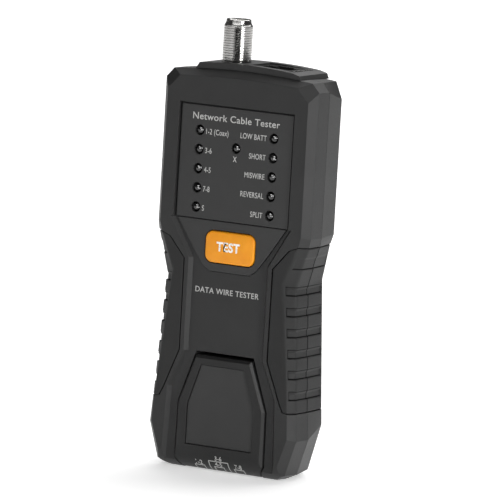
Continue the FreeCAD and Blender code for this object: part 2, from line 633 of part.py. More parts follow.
def make_coax():
    """Coax jack: threaded barrel, insulator, centre contact and inner nut."""
    low = HEIGHT - PLINTH_ROOT - COAX_NUT_THICK - 1.2
    top = PLINTH_TOP + COAX_LENGTH
    root = rod(COAX_X, COAX_Y, low, COAX_ROOT_R, PLINTH_TOP - low, (0, 0, 1))
    thread = rod(COAX_X, COAX_Y, PLINTH_TOP, COAX_R, top - COAX_TIP_HEIGHT - PLINTH_TOP, (0, 0, 1))
    tip_low = V(COAX_X, COAX_Y, top - COAX_TIP_HEIGHT)
    tip = Part.makeCone(COAX_NECK_R, COAX_TIP_R, COAX_TIP_HEIGHT, tip_low, V(0, 0, 1))
    bore = rod(COAX_X, COAX_Y, low - 1, COAX_BORE_R, top - low + 2, (0, 0, 1))
    insulator_top = top - 1.2
    insulator = rod(COAX_X, COAX_Y, low, COAX_BORE_R, insulator_top - low, (0, 0, 1))
    channel_r = COAX_CONTACT_R + 0.05
    funnel_depth = 1.3
    funnel_low = V(COAX_X, COAX_Y, insulator_top - funnel_depth)
    funnel = Part.makeCone(channel_r, 2.0, funnel_depth, funnel_low, V(0, 0, 1))
    channel = rod(COAX_X, COAX_Y, low - 1, channel_r, insulator_top - low + 1.5, (0, 0, 1))
    contact_top = insulator_top - funnel_depth - 0.7
    contact = rod(COAX_X, COAX_Y, CONNECTOR_BOARD_TOP, COAX_CONTACT_R, contact_top - CONNECTOR_BOARD_TOP,
                  (0, 0, 1))
    hollow = rod(COAX_X, COAX_Y, contact_top - 6.0, COAX_CONTACT_R - 0.25, 8.0, (0, 0, 1))
    corners = []
    for number in range(7):
        angle = math.radians(60 * number)
        radius = COAX_NUT_ACROSS / 2 / math.cos(math.radians(30))
        corners.append(V(COAX_X + radius * math.cos(angle), COAX_Y + radius * math.sin(angle), 0))
    nut = Part.Face(Part.makePolygon(corners)).extrude(V(0, 0, COAX_NUT_THICK))
    nut.translate(V(0, 0, HEIGHT - PLINTH_ROOT - COAX_NUT_THICK))
    nut = nut.cut(rod(COAX_X, COAX_Y, 0, COAX_ROOT_R + 0.02, 2 * HEIGHT, (0, 0, 1)))
    return {"coax_barrel": fuse([root, thread, tip]).cut(bore),
            "coax_insulator": insulator.cut(Part.makeCompound([funnel, channel])),
            "coax_contact": contact.cut(hollow),
            "coax_nut": nut}


def data_jack(width, depth, length):
    """8P8C jack standing mouth up at the origin: housing, metal shield and contacts."""
    core = box(-width / 2 + JACK_SHIELD, width / 2 - JACK_SHIELD, -depth / 2 + JACK_SHIELD,
               depth / 2 - JACK_SHIELD, -length, -0.2)
    port_y = -depth / 2 + 1.1
    port = box(-PORT_WIDTH / 2, PORT_WIDTH / 2, port_y, port_y + PORT_DEPTH, -PORT_LENGTH, 1)
    notch = box(-PORT_NOTCH_WIDTH / 2, PORT_NOTCH_WIDTH / 2, port_y + PORT_DEPTH - 0.1,
                port_y + PORT_DEPTH + PORT_NOTCH_DEPTH, -PORT_LENGTH, 1)
    mouth = fuse([port, notch])
    housing = core.cut(mouth)
    outer = box(-width / 2, width / 2, -depth / 2, depth / 2, -length + 0.5, 0)
    shield = outer.cut(box(-width / 2 + JACK_SHIELD, width / 2 - JACK_SHIELD, -depth / 2 + JACK_SHIELD,
                           depth / 2 - JACK_SHIELD, -length - 1, -0.2))
    shield = shield.cut(mouth)
    wires = []
    for number in range(8):
        x = (number - 3.5) * CONTACT_PITCH
        low = V(x - CONTACT_WIDTH / 2, port_y, -PORT_LENGTH)
        outline_points = [low, low + V(0, CONTACT_REACH, 0), low + V(0, 0.3, 9.0), low + V(0, 0, 9.0), low]
        wires.append(Part.Face(Part.makePolygon(outline_points)).extrude(V(CONTACT_WIDTH, 0, 0)))
    return housing, shield, Part.makeCompound(wires)


def place_jack(prefix, x, y, z, mouth_down):
    """Set a jack's three pieces in place, mouth up or mouth down."""
    made = {}
    for name, shape in zip(("housing", "shield", "contacts"), data_jack(JACK_WIDTH, JACK_DEPTH, JACK_LENGTH)):
        if mouth_down:
            shape.rotate(V(0, 0, 0), V(0, 1, 0), 180)
        shape.translate(V(x, y, z))
        made[f"{prefix}_{name}"] = shape
    return made


# ---- battery bay --------------------------------------------------------------------------------
def make_cells():
    """Two AAA cells side by side, one each way up, with springs and plates."""
    made = {}
    x = CELL_R + CELL_GAP / 2
    low = BAY_BOTTOM + PLATE_STRIP
    for side, name, spring_below in ((-1, "left", True), (1, "right", False)):
        body_low = low + (SPRING_LENGTH if spring_below else CELL_NUB_HEIGHT)
        nub_low = body_low + CELL_LENGTH if spring_below else body_low - CELL_NUB_HEIGHT
        body = rod(side * x, CELL_Y, body_low, CELL_R, CELL_LENGTH, (0, 0, 1))
        nub = rod(side * x, CELL_Y, nub_low, CELL_NUB_R, CELL_NUB_HEIGHT, (0, 0, 1))
        made[f"cell_{name}"] = fuse([body, nub])
        spring_low = low if spring_below else body_low + CELL_LENGTH + JOINT_GAP
        lower_r, upper_r = (SPRING_FOOT_R, SPRING_TIP_R) if spring_below else (SPRING_TIP_R, SPRING_FOOT_R)
        made[f"cell_spring_{name}"] = Part.makeCone(lower_r, upper_r, SPRING_LENGTH - JOINT_GAP,
                                                    V(side * x, CELL_Y, spring_low), V(0, 0, 1))
    plate_half = CELL_R - 0.6
    y0 = CELL_Y - plate_half
    y1 = CELL_Y + plate_half
    made["bridge_plate"] = box(-x - plate_half, x + plate_half, y0, y1, BAY_BOTTOM, low)
    top_plates = []
    for side in (-1, 1):
        plate_low = side * x - plate_half
        top_plates.append(box(plate_low, plate_low + 2 * plate_half, y0, y1, BAY_TOP - PLATE_STRIP, BAY_TOP))
    made["terminal_plates"] = Part.makeCompound(top_plates)
    return made


def make_door():
    """Battery door with two hinge knuckles, and its latch tab."""
    half = BAY_HALF + DOOR_LIP
    plate = box(-half, half, DOOR_INNER, BACK, BAY_BOTTOM - 0.2, BAY_TOP + DOOR_LIP)
    grooves = []
    for number in range(5):
        z = BAY_TOP - 5.0 - 1.8 * number
        grooves.append(box(-6.0, 6.0, BACK - 0.5, BACK + 1, z, z + 0.8))
    knuckles = []
    for side in (-1, 1):
        x = side * KNUCKLE_X - KNUCKLE_WIDTH / 2
        knuckles.append(rod(x, HINGE_Y, HINGE_Z, KNUCKLE_R, KNUCKLE_WIDTH, (1, 0, 0)))
        knuckles.append(box(x, x + KNUCKLE_WIDTH, DOOR_INNER, HINGE_Y + KNUCKLE_R, HINGE_Z, BAY_BOTTOM))
    door = fuse([plate] + knuckles).cut(Part.makeCompound(grooves))
    low = BAY_TOP + DOOR_LIP
    latch = box(-LATCH_WIDTH / 2, LATCH_WIDTH / 2, DOOR_INNER, BACK, low, low + LATCH_HEIGHT - DOOR_GAP)
    ribs = []
    for number in range(3):
        z = low + 0.9 + 1.0 * number
        ribs.append(box(-LATCH_WIDTH / 2 + 1, LATCH_WIDTH / 2 - 1, BACK - 0.4, BACK + 1, z, z + 0.4))
    return door, latch.cut(Part.makeCompound(ribs))


# ---- remote terminator --------------------------------------------------------------------------
def remote_body(inset, depth_inset):
    """Remote's solid envelope, moved in by inset, with its bevelled face."""
    side = remote_outline(-inset)
    side = [(x, z + (inset if z < REMOTE_HEEL else 0.0)) for x, z in side]
    face = [(x - REMOTE_BEVEL, z) for x, z in side[:-1]]
    face.append((side[-1][0] - 0.6 * REMOTE_BEVEL, side[-1][1] - REMOTE_BEVEL))
    face_y = FRONT + depth_inset
    side_y = face_y + REMOTE_BEVEL
    bevel = taper_y(mirrored(face), face_y, mirrored(side), side_y)
    block = prism_y(mirrored(side), side_y, REMOTE_BACK - depth_inset)
    return fuse([bevel, block])


def remote_inlay_outline(out):
    """Right-hand outline of the inlay on the remote's face."""
    return [(12.3 + out, 8.4 - out), (12.3 + out, 21.3), (7.9 + out, REMOTE_HEIGHT - 3.1 + out)]


def make_remote():
    """Remote: two shells, face inlay, board, jack, load parts and screw."""
    split = FRONT + REMOTE_SPLIT
    jack_y = REMOTE_BACK - REMOTE_BACK_SKIN - JACK_DEPTH / 2
    jack_z = REMOTE_FOOT_GAP
    inner_chin = chin_cut(HALF)
    inner_chin.translate(V(0, REMOTE_WALL, 0))
    cavity = remote_body(REMOTE_WALL, REMOTE_WALL).cut(inner_chin)
    shell = remote_body(0, 0).cut(cavity)
    half = JACK_WIDTH / 2 + JACK_SLACK
    deep = JACK_DEPTH / 2 + JACK_SLACK
    jack_hole = box(-half, half, jack_y - deep, jack_y + deep, -1, JACK_LENGTH + 2)
    inlay_back = FRONT + REMOTE_INLAY_RECESS + 0.5
    inlay_seat = prism_y(mirrored(remote_inlay_outline(0.1)), FRONT - 1, inlay_back)
    post_z = REMOTE_HEIGHT - REMOTE_POST_DROP
    post = rod(0, FRONT + 0.8, post_z, REMOTE_POST_R, REMOTE_THICK - 1.6, (0, 1, 0))
    shell = fuse([shell, post])
    head_y = REMOTE_BACK - SCREW_HEAD_THICK - 0.3
    pilot = rod(0, split - 4.0, post_z, SCREW_R + SCREW_GAP / 2, REMOTE_THICK, (0, 1, 0))
    head_seat = rod(0, head_y, post_z, SCREW_HEAD_R + 2 * SCREW_GAP, 5, (0, 1, 0))
    chin = Part.makeCompound([chin_cut(HALF)])
    shell = cut(shell, [chin, jack_hole, inlay_seat, pilot, head_seat])
    big = HALF + 5
    front = shell.common(box(-big, big, FRONT - 1, split - 0.05, -1, REMOTE_HEIGHT + 1))
    rear = shell.common(box(-big, big, split + 0.05, BACK, -1, REMOTE_HEIGHT + 1))
    made = {"remote_front_shell": front, "remote_rear_shell": rear}
    made["remote_inlay"] = prism_y(mirrored(remote_inlay_outline(0)), inlay_back - 0.5, inlay_back)
    made.update(place_jack("remote_jack", 0, jack_y, jack_z, True))
    board_low = jack_z + JACK_LENGTH + 0.05
    board_top = board_low + BOARD_THICK
    made["remote_board"] = box(-9.5, 9.5, FRONT + 3.2, REMOTE_BACK - REMOTE_WALL - 0.4, board_low, board_top)
    loads = []
    for number in range(4):
        x = -7.5 + 5.0 * number
        loads.append(box(x - 1.0, x + 1.0, FRONT + 6.0, FRONT + 9.2, board_top, board_top + 1.2))
    made["remote_load_parts"] = Part.makeCompound(loads)
    screw = fuse([rod(0, split - 3.5, post_z, SCREW_R, head_y - split + 3.6, (0, 1, 0)),
                  rod(0, head_y, post_z, SCREW_HEAD_R, SCREW_HEAD_THICK, (0, 1, 0))])
    made["remote_screw"] = screw
    return made


# ---- build all ----------------------------------------------------------------------------------
def main():
    """Make every piece and write it."""
    pieces = {"front_shell": make_front_shell(), "rear_shell": make_rear_shell()}
    pieces.update(make_grips())
    pieces.update(make_screws())
    pieces["led_panel"] = make_led_panel()
    pieces["button_bezel"] = make_bezel()
    pieces["test_button"] = make_button()
    pieces["switch_body"], pieces["switch_plunger"] = make_switch()
    pieces.update(make_lamps())
    boards = make_boards()
    for name, shape in zip(("main_board", "connector_board", "controller_chip", "board_header"), boards):
        pieces[name] = shape
    pieces["connector_plinth"] = make_plinth()
    pieces.update(make_coax())
    pieces.update(place_jack("data_jack", JACK_X, JACK_Y, JACK_TOP, False))
    pieces.update(make_cells())
    pieces["battery_door"], pieces["door_latch"] = make_door()
    pieces.update(make_remote())
    for name, shape in pieces.items():
        write(name, shape)
    print(f"{len(pieces)} pieces, housing {HEIGHT:.2f} tall")


main()
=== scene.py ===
# %% [markdown]
# # A network cable tester, dressed for its portrait
#
# The tester is a hand-held box: two black moulded shells, rubber grips, a lamp panel, an orange button,
# a coax jack and a data jack on top, and a small remote that docks in the lower front.  The imported CAD
# model already holds every size and every joint, so this lesson only adds looks.  The first step loads
# that model.

# %% Load the frame
import json
import math

import bmesh
import bpy
import numpy as np
from mathutils import Matrix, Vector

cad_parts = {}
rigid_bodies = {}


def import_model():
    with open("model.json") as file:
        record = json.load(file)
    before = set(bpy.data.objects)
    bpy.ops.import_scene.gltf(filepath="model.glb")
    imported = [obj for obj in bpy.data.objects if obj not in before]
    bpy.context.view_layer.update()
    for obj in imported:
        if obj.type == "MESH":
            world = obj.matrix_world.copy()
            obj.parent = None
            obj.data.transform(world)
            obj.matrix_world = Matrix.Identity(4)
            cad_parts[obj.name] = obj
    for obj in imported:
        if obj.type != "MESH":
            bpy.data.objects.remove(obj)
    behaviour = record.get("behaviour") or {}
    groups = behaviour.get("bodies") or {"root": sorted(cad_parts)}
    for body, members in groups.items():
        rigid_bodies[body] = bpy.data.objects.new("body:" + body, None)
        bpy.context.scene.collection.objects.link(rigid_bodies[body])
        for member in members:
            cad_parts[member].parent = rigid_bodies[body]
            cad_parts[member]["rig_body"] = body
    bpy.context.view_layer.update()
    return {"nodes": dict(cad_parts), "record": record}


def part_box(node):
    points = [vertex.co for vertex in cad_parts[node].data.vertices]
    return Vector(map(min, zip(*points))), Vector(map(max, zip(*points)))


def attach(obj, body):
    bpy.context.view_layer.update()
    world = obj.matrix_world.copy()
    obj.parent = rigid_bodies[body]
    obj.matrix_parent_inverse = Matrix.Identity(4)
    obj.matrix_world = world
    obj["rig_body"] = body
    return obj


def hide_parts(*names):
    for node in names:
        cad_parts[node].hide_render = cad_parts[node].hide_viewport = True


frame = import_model()
MM = 0.001

# %% [markdown]
# ## Where everything is
#
# No place is typed in twice.  Each number below is read from the CAD boxes: the front face, the panel,
# the button and the jacks.  Sizes that the CAD model has no need of, such as a letter's height, get a
# name where they are first used.

# %% Read the places from the CAD boxes
def corners(node):
    """Lowest and highest corner of a CAD node, as two arrays in metres."""
    low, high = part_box(node)
    return np.array(low), np.array(high)


shell_low, shell_high = corners("front_shell")
panel_low, panel_high = corners("led_panel")
button_low, button_high = corners("test_button")
remote_low, remote_high = corners("remote_front_shell")
coax_low, coax_high = corners("coax_barrel")
FRONT_Y = shell_low[1]
PANEL_Y = panel_low[1]
LAMPS = [name for name in sorted(frame["nodes"]) if name.startswith("lamp_")]
print(f"front face at y = {FRONT_Y / MM:.2f} mm, lamp panel at {PANEL_Y / MM:.2f} mm, {len(LAMPS)} lamps")

# %% [markdown]
# ## The camera
#
# A portrait of a small product is taken from far away with a long lens, so that its edges stay almost
# parallel.  The camera stands to the right of the front, a little above, and is rolled a few degrees.
# Its place comes from two angles and a distance; sliding it sideways and up in its own plane frames the
# object without a lens shift.

# %% Place the camera
CAMERA_AZIMUTH = math.radians(30.3)
CAMERA_ELEVATION = math.radians(7.366)
CAMERA_ROLL = math.radians(3.321)
CAMERA_DISTANCE = 2.0968
CAMERA_LENS = 468.0
CAMERA_TARGET = np.array([0.0, 1.6 * MM, 68.0 * MM])
CAMERA_SLIDE = (-0.49 * MM, 3.47 * MM)


def place_camera():
    """right, up and back are the camera's axes; roll turns right and up about back."""
    a, e, roll = CAMERA_AZIMUTH, CAMERA_ELEVATION, CAMERA_ROLL
    right = np.array([math.cos(a), math.sin(a), 0.0])
    back = np.array([math.sin(a) * math.cos(e), -math.cos(a) * math.cos(e), math.sin(e)])
    up = np.cross(back, right)
    turned_right = math.cos(roll) * right + math.sin(roll) * up
    turned_up = -math.sin(roll) * right + math.cos(roll) * up
    spot = CAMERA_TARGET + back * CAMERA_DISTANCE
    spot = spot + turned_right * CAMERA_SLIDE[0] + turned_up * CAMERA_SLIDE[1]
    lens = bpy.data.cameras.new("portrait_camera")
    lens.lens = CAMERA_LENS
    lens.sensor_width = 36.0
    lens.clip_end = 50.0
    camera = bpy.data.objects.new("portrait_camera", lens)
    bpy.context.scene.collection.objects.link(camera)
    matrix = np.eye(4)
    matrix[:3, 0], matrix[:3, 1], matrix[:3, 2], matrix[:3, 3] = turned_right, turned_up, back, spot
    camera.matrix_world = Matrix(matrix.tolist())
    bpy.context.scene.camera = camera
    return camera


print("camera at", [round(v, 3) for v in place_camera().matrix_world.translation])

# %% [markdown]
# ## Nodes and colours
#
# Every finish is a small network of nodes.  One function adds a node, sets its properties and links its
# inputs, and another starts a material with its shader.  Colours are written as the hex values that a
# designer would read off a colour card, and one function turns them into the linear numbers of a shader.

# %% Helpers for materials
def linear(code):
    """sRGB hex to linear RGBA: c/12.92 below 0.04045, otherwise ((c + 0.055) / 1.055) ** 2.4."""
    parts = [int(code[i:i + 2], 16) / 255 for i in (1, 3, 5)]
    return tuple(c / 12.92 if c <= 0.04045 else ((c + 0.055) / 1.055) ** 2.4 for c in parts) + (1.0,)


def add(tree, kind, settings=None, **inputs):
    """Add one node: settings are its properties; each input takes a value or another node's socket."""
    made = tree.nodes.new("ShaderNode" + kind)
    for key, value in (settings or {}).items():
        setattr(made, key, value)
    for key, value in inputs.items():
        socket = made.inputs[int(key[1:])] if key[0] == "i" and key[1:].isdigit() else \
            made.inputs[key.replace("_", " ")]
        if isinstance(value, bpy.types.NodeSocket):
            tree.links.new(value, socket)
        else:
            socket.default_value = value
    return made


def start(name, ior=1.5, metallic=0.0):
    """A new material with a Principled shader, and its Object coordinates."""
    material = bpy.data.materials.new(name)
    material.use_nodes = True
    tree = material.node_tree
    tree.nodes.clear()
    shader = add(tree, "BsdfPrincipled", Metallic=metallic)
    if metallic == 0.0:
        shader.inputs["IOR"].default_value = ior
    add(tree, "OutputMaterial", Surface=shader.outputs[0])
    place = add(tree, "TexCoord").outputs["Object"]
    return material, tree, shader, place


def noise(tree, place, size_mm, detail=2.0, roughness=0.5):
    """Noise whose blotches are about size_mm across."""
    return add(tree, "TexNoise", Vector=place, Scale=1.0 / (size_mm * MM), Detail=detail,
               Roughness=roughness).outputs["Fac"]


def ramp(tree, factor, stops):
    """Colour ramp over (position, hex) stops."""
    made = add(tree, "ValToRGB", Fac=factor)
    band = made.color_ramp
    while len(band.elements) < len(stops):
        band.elements.new(0.5)
    for element, (position, code) in zip(band.elements, stops):
        element.position = position
        element.color = linear(code)
    return made.outputs["Color"]


def between(tree, factor, low, high):
    """Stretch a 0.3 to 0.7 factor, which noise keeps to, over low to high."""
    return add(tree, "MapRange", Value=factor, From_Min=0.3, From_Max=0.7, To_Min=low,
               To_Max=high).outputs["Result"]


def bump(tree, height, depth_mm, strength=1.0, normal=None):
    """Bump of depth_mm for a height of one."""
    made = add(tree, "Bump", Height=height, Distance=depth_mm * MM, Strength=strength)
    if normal is not None:
        tree.links.new(normal, made.inputs["Normal"])
    return made.outputs["Normal"]


print("a mid grey card, #777777, is linear", round(linear("#777777")[0], 3))

# %% [markdown]
# ## Moulded plastics and rubber
#
# The shells are ABS moulded in a spark-eroded tool.  The spark leaves a fine, even pitting, about a
# quarter of a millimetre across, that breaks up every reflection into a soft sheen.  The grips are a
# thermoplastic rubber: the same black, but it scatters more and shines less.  The lamp panel is a
# smooth polycarbonate overlay.  All three are noise at two scales: fine for the skin, coarse for the
# slight drift in shade that any large moulding has.  The skin of the grips also has deep grooves,
# which a point attribute marks; the shade that falls in them is painted into the rubber as near black,
# and their sheen is taken out.

# %% Finishes of the mouldings
EDGE_ROUND = 0.25
SHEEN = 0.28


def spark_eroded(name, dark, light, rough, grain_mm, depth_mm, ior=1.53):
    """Moulded skin: coarse noise drifts the shade, fine noise pits the surface."""
    material, tree, shader, place = start(name, ior)
    drift = noise(tree, place, 14.0, 2.0)
    grain = noise(tree, place, grain_mm, 3.0, 0.6)
    tree.links.new(ramp(tree, drift, [(0.3, dark), (0.7, light)]), shader.inputs["Base Color"])
    tree.links.new(between(tree, grain, rough - 0.05, rough + 0.05), shader.inputs["Roughness"])
    rounded = add(tree, "Bevel", {"samples": 4}, Radius=EDGE_ROUND * MM).outputs["Normal"]
    tree.links.new(bump(tree, grain, depth_mm, normal=rounded), shader.inputs["Normal"])
    shader.inputs["Specular IOR Level"].default_value = SHEEN
    return material


def shade_grooves(material):
    """Painted shade in grooves: the point attribute "open" (0 in a groove, 1 on top) darkens colour and
    sheen.
    """
    tree = material.node_tree
    shader = next(node for node in tree.nodes if node.type == "BSDF_PRINCIPLED")
    openness = add(tree, "Attribute", {"attribute_name": "open"}).outputs["Fac"]
    shade = shader.inputs["Base Color"].links[0].from_node
    drift = shade.inputs["Fac"].links[0].from_socket
    # Painted shade: where "open" is 0 the colour drops to this near-black stop and the sheen to nothing.
    shade.color_ramp.elements.new(0.0).color = linear("#050505")
    for factor, target in ((drift, shade.inputs["Fac"]), (SHEEN, shader.inputs["Specular IOR Level"])):
        dimmed = add(tree, "Math", {"operation": "MULTIPLY"}, i0=factor, i1=openness)
        tree.links.new(dimmed.outputs[0], target)
    return material


# The real grain is 0.25 mm; it is drawn at 0.45 mm so that it still shows at arm's length.
shell_abs = spark_eroded("abs_spark_eroded", "#2a2a2a", "#2e2e2e", 0.46, 0.45, 0.030)
grip_rubber = spark_eroded("tpe_rubber_moulded", "#232323", "#272727", 0.60, 0.40, 0.030)
panel_film = spark_eroded("polycarbonate_overlay_matt", "#333333", "#363636", 0.42, 0.30, 0.008)
inlay_abs = spark_eroded("abs_inlay_fine_grain", "#333333", "#373737", 0.46, 0.35, 0.015)
remote_abs = spark_eroded("abs_remote_fine_grain", "#1f1f1f", "#242424", 0.44, 0.40, 0.020)
nylon_black = spark_eroded("nylon_moulded_black", "#161616", "#1c1c1c", 0.45, 0.50, 0.010)
epoxy_black = spark_eroded("epoxy_transfer_moulded", "#141415", "#1b1b1c", 0.50, 0.12, 0.010, 1.55)
dielectric = spark_eroded("ptfe_turned", "#d9d6cb", "#e6e4dc", 0.45, 0.30, 0.006, 1.38)
# The grip skin carries painted shade in its grooves.
skin_rubber = shade_grooves(spark_eroded("tpe_rubber_grip_skin", "#242424", "#282828", 0.56, 0.40, 0.030))
print("mouldings:", remote_abs.name, shell_abs.name, grip_rubber.name, panel_film.name)

# %% [markdown]
# ## Orange button plastic
#
# The button is satin ABS, dyed through.  Its mould is smoother than the housing's, so it carries a
# broad, soft highlight, and a bright dyed plastic lets a little light travel inside before it leaves.

# %% Finish of the button
def orange_abs():
    """Dyed ABS: nearly even colour, light grain, a touch of scattering under the surface."""
    material, tree, shader, place = start("abs_orange_satin", 1.53)
    drift = noise(tree, place, 5.0, 3.0)
    grain = noise(tree, place, 0.3, 3.0)
    tree.links.new(ramp(tree, drift, [(0.3, "#ea9310"), (0.7, "#f09c18")]), shader.inputs["Base Color"])
    tree.links.new(between(tree, grain, 0.36, 0.44), shader.inputs["Roughness"])
    tree.links.new(bump(tree, grain, 0.008), shader.inputs["Normal"])
    shader.inputs["Specular IOR Level"].default_value = 0.35
    shader.inputs["Subsurface Weight"].default_value = 0.08
    shader.inputs["Subsurface Scale"].default_value = 0.6 * MM
    return material


button_abs = orange_abs()
print("button:", button_abs.name)

# %% [markdown]
# ## Screen-printed ink
#
# The labels are printed through a mesh.  Pad and screen inks dry matt and a little uneven, so the ink
# has a soft mottle in shade and no gloss.

# %% Finish of the print
def ink(name, dark, light):
    """Matt ink with a fine mottle from the printing mesh, whose threads are 0.1 mm apart."""
    material, tree, shader, place = start(name, 1.5)
    mottle = noise(tree, place, 0.2, 2.0)
    tree.links.new(ramp(tree, mottle, [(0.3, dark), (0.7, light)]), shader.inputs["Base Color"])
    tree.links.new(between(tree, mottle, 0.5, 0.65), shader.inputs["Roughness"])
    return material


label_ink = ink("screen_ink_grey", "#a9a9a7", "#c2c2c0")
button_ink = ink("screen_ink_white", "#f0ece4", "#ffffff")
print("inks:", label_ink.name, button_ink.name)

# %% [markdown]
# ## Metals
#
# The jack's barrel is brass under bright nickel: nearly a mirror, with the fine rings that the turning
# tool left.  Screws and springs are zinc plated, which is duller and a little cloudy.  The contacts are
# gold flashed.  A metal's colour is its reflection, so only the base colour and the roughness matter.

# %% Finishes of the metals
def plated(name, dark, light, rough, cloud_mm, ring_mm=0.0):
    """Plated metal: cloudy noise in the roughness, and optional rings across Z from the turning."""
    material, tree, shader, place = start(name, metallic=1.0)
    cloud = noise(tree, place, cloud_mm, 4.0)
    tree.links.new(ramp(tree, cloud, [(0.3, dark), (0.7, light)]), shader.inputs["Base Color"])
    tree.links.new(between(tree, cloud, rough * 0.75, rough * 1.25), shader.inputs["Roughness"])
    height = noise(tree, place, cloud_mm / 6, 2.0)
    depth_mm = 0.004
    if ring_mm:
        rings = add(tree, "TexWave", {"bands_direction": "Z"}, Vector=place, Scale=0.314 / (ring_mm * MM),
                    Distortion=0.4, Detail=1.0)
        height = rings.outputs["Fac"]
        depth_mm = 0.006
    tree.links.new(bump(tree, height, depth_mm), shader.inputs["Normal"])
    return material


nickel = plated("nickel_plate_bright", "#bdbcba", "#cccbc9", 0.14, 2.0, 0.12)
zinc = plated("zinc_plate_clear", "#9fa1a6", "#b9bbc0", 0.32, 1.5)
gold = plated("gold_flash", "#c99a45", "#dcb15c", 0.22, 1.0)
print("metals:", nickel.name, zinc.name, gold.name)

# %% [markdown]
# ## Lamp epoxy, circuit board and cell wrap
#
# A lamp's lens is cast epoxy, glossy and dark while the lamp is off.  The boards carry a green solder
# mask with tracks under it.  The cells wear a printed shrink sleeve.  The last two are only seen with
# the battery door open, but they are there.

# %% Finishes inside
def lamp_epoxy():
    """Cast epoxy over a dark cup: smooth, deep and glossy, with faint clouding."""
    material, tree, shader, place = start("epoxy_cast_smoked", 1.54)
    cloud = noise(tree, place, 0.8, 2.0)
    tree.links.new(ramp(tree, cloud, [(0.3, "#060606"), (0.7, "#101011")]), shader.inputs["Base Color"])
    tree.links.new(between(tree, cloud, 0.06, 0.12), shader.inputs["Roughness"])
    shader.inputs["Coat Weight"].default_value = 0.6
    shader.inputs["Coat Roughness"].default_value = 0.04
    return material


def solder_mask():
    """Green mask; tracks 0.8 mm apart are the edges of a brick pattern, standing 0.03 mm high."""
    material, tree, shader, place = start("solder_mask_green", 1.52)
    tracks = add(tree, "TexBrick", Vector=place, Scale=1.0 / (4.0 * MM), Mortar_Size=0.04,
                 Color1=linear("#0f4023"), Color2=linear("#11482a"), Mortar=linear("#1f6a3c"))
    grain = noise(tree, place, 0.4, 2.0)
    tree.links.new(tracks.outputs["Color"], shader.inputs["Base Color"])
    tree.links.new(between(tree, grain, 0.28, 0.38), shader.inputs["Roughness"])
    tree.links.new(bump(tree, tracks.outputs["Fac"], 0.03), shader.inputs["Normal"])
    return material


def cell_sleeve():
    """Shrink sleeve: bands along Z from a ramp, and faint wrinkles from stretched noise."""
    material, tree, shader, place = start("pvc_shrink_sleeve", 1.54)
    height = add(tree, "SeparateXYZ", Vector=place).outputs["Z"]
    low, high = corners("cell_left")
    share = add(tree, "MapRange", Value=height, From_Min=float(low[2]), From_Max=float(high[2]))
    bands = ramp(tree, share.outputs["Result"], [(0.0, "#b9bcc2"), (0.03, "#1d3557"), (0.70, "#1f3b63"),
                                                 (0.72, "#c98a3a"), (0.965, "#c98a3a"), (0.98, "#b9bcc2")])
    wrinkle = noise(tree, place, 1.2, 2.0)
    tree.links.new(bands, shader.inputs["Base Color"])
    tree.links.new(between(tree, wrinkle, 0.22, 0.32), shader.inputs["Roughness"])
    tree.links.new(bump(tree, wrinkle, 0.02), shader.inputs["Normal"])
    return material


def painted_highlight_finish():
    """Painted highlight of the lamps: pale and softly blurred, for patches that stand in for highlight
    specks.
    """
    material, tree, shader, place = start("silver_flash_under_epoxy", 1.5)
    cloud = noise(tree, place, 0.3, 2.0)
    tree.links.new(ramp(tree, cloud, [(0.3, "#b4b4b4"), (0.7, "#f2f2f2")]), shader.inputs["Base Color"])
    tree.links.new(between(tree, cloud, 0.2, 0.4), shader.inputs["Roughness"])
    shader.inputs["Metallic"].default_value = 0.2
    return material


# The last of these is the lamps' painted highlight.
lens_epoxy, board_mask, sleeve, highlight_paint = lamp_epoxy(), solder_mask(), cell_sleeve(), painted_highlight_finish()
FINISHES = {
    "housing_abs": shell_abs, "grip_rubber": grip_rubber, "panel_plastic": panel_film,
    "button_plastic": button_abs, "lamp_epoxy": lens_epoxy, "zinc_steel": zinc, "nickel_plate": nickel,
    "jack_nylon": nylon_black, "gold_contact": gold, "dielectric": dielectric,
    "circuit_board": board_mask, "chip_epoxy": epoxy_black, "cell_wrap": sleeve,
}
print(len(FINISHES), "finishes, one for each material slot")

# %% [markdown]
# ## Dress the CAD nodes
#
# Every CAD node already has the right shape, so it keeps its mesh and only gets a finish.  The record
# says which material slot each node belongs to.

# %% Give each CAD node its finish
SLOT_OF = {part["node"]: part["material_slot"] for part in frame["record"]["subparts"]}
for node_name, cad_piece in frame["nodes"].items():
    cad_piece.data.materials.clear()
    cad_piece.data.materials.append(FINISHES[SLOT_OF[node_name]])
print(len(frame["nodes"]), "nodes dressed")

# %% [markdown]
# ## Softened mouldings
#
# A moulding tool never has a razor edge: each edge of a shell is rounded by a few tenths of a
# millimetre, and that thin round is what catches the light.  The CAD mesh is sharp, so a copy of it is
# welded, its flat faces are joined up, and a Bevel modifier rounds every edge that turns by more than
# a few degrees.

# %% Round the edges of the mouldings
BODY_OF = {name: piece["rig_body"] for name, piece in frame["nodes"].items()}
SEGMENTS = 2


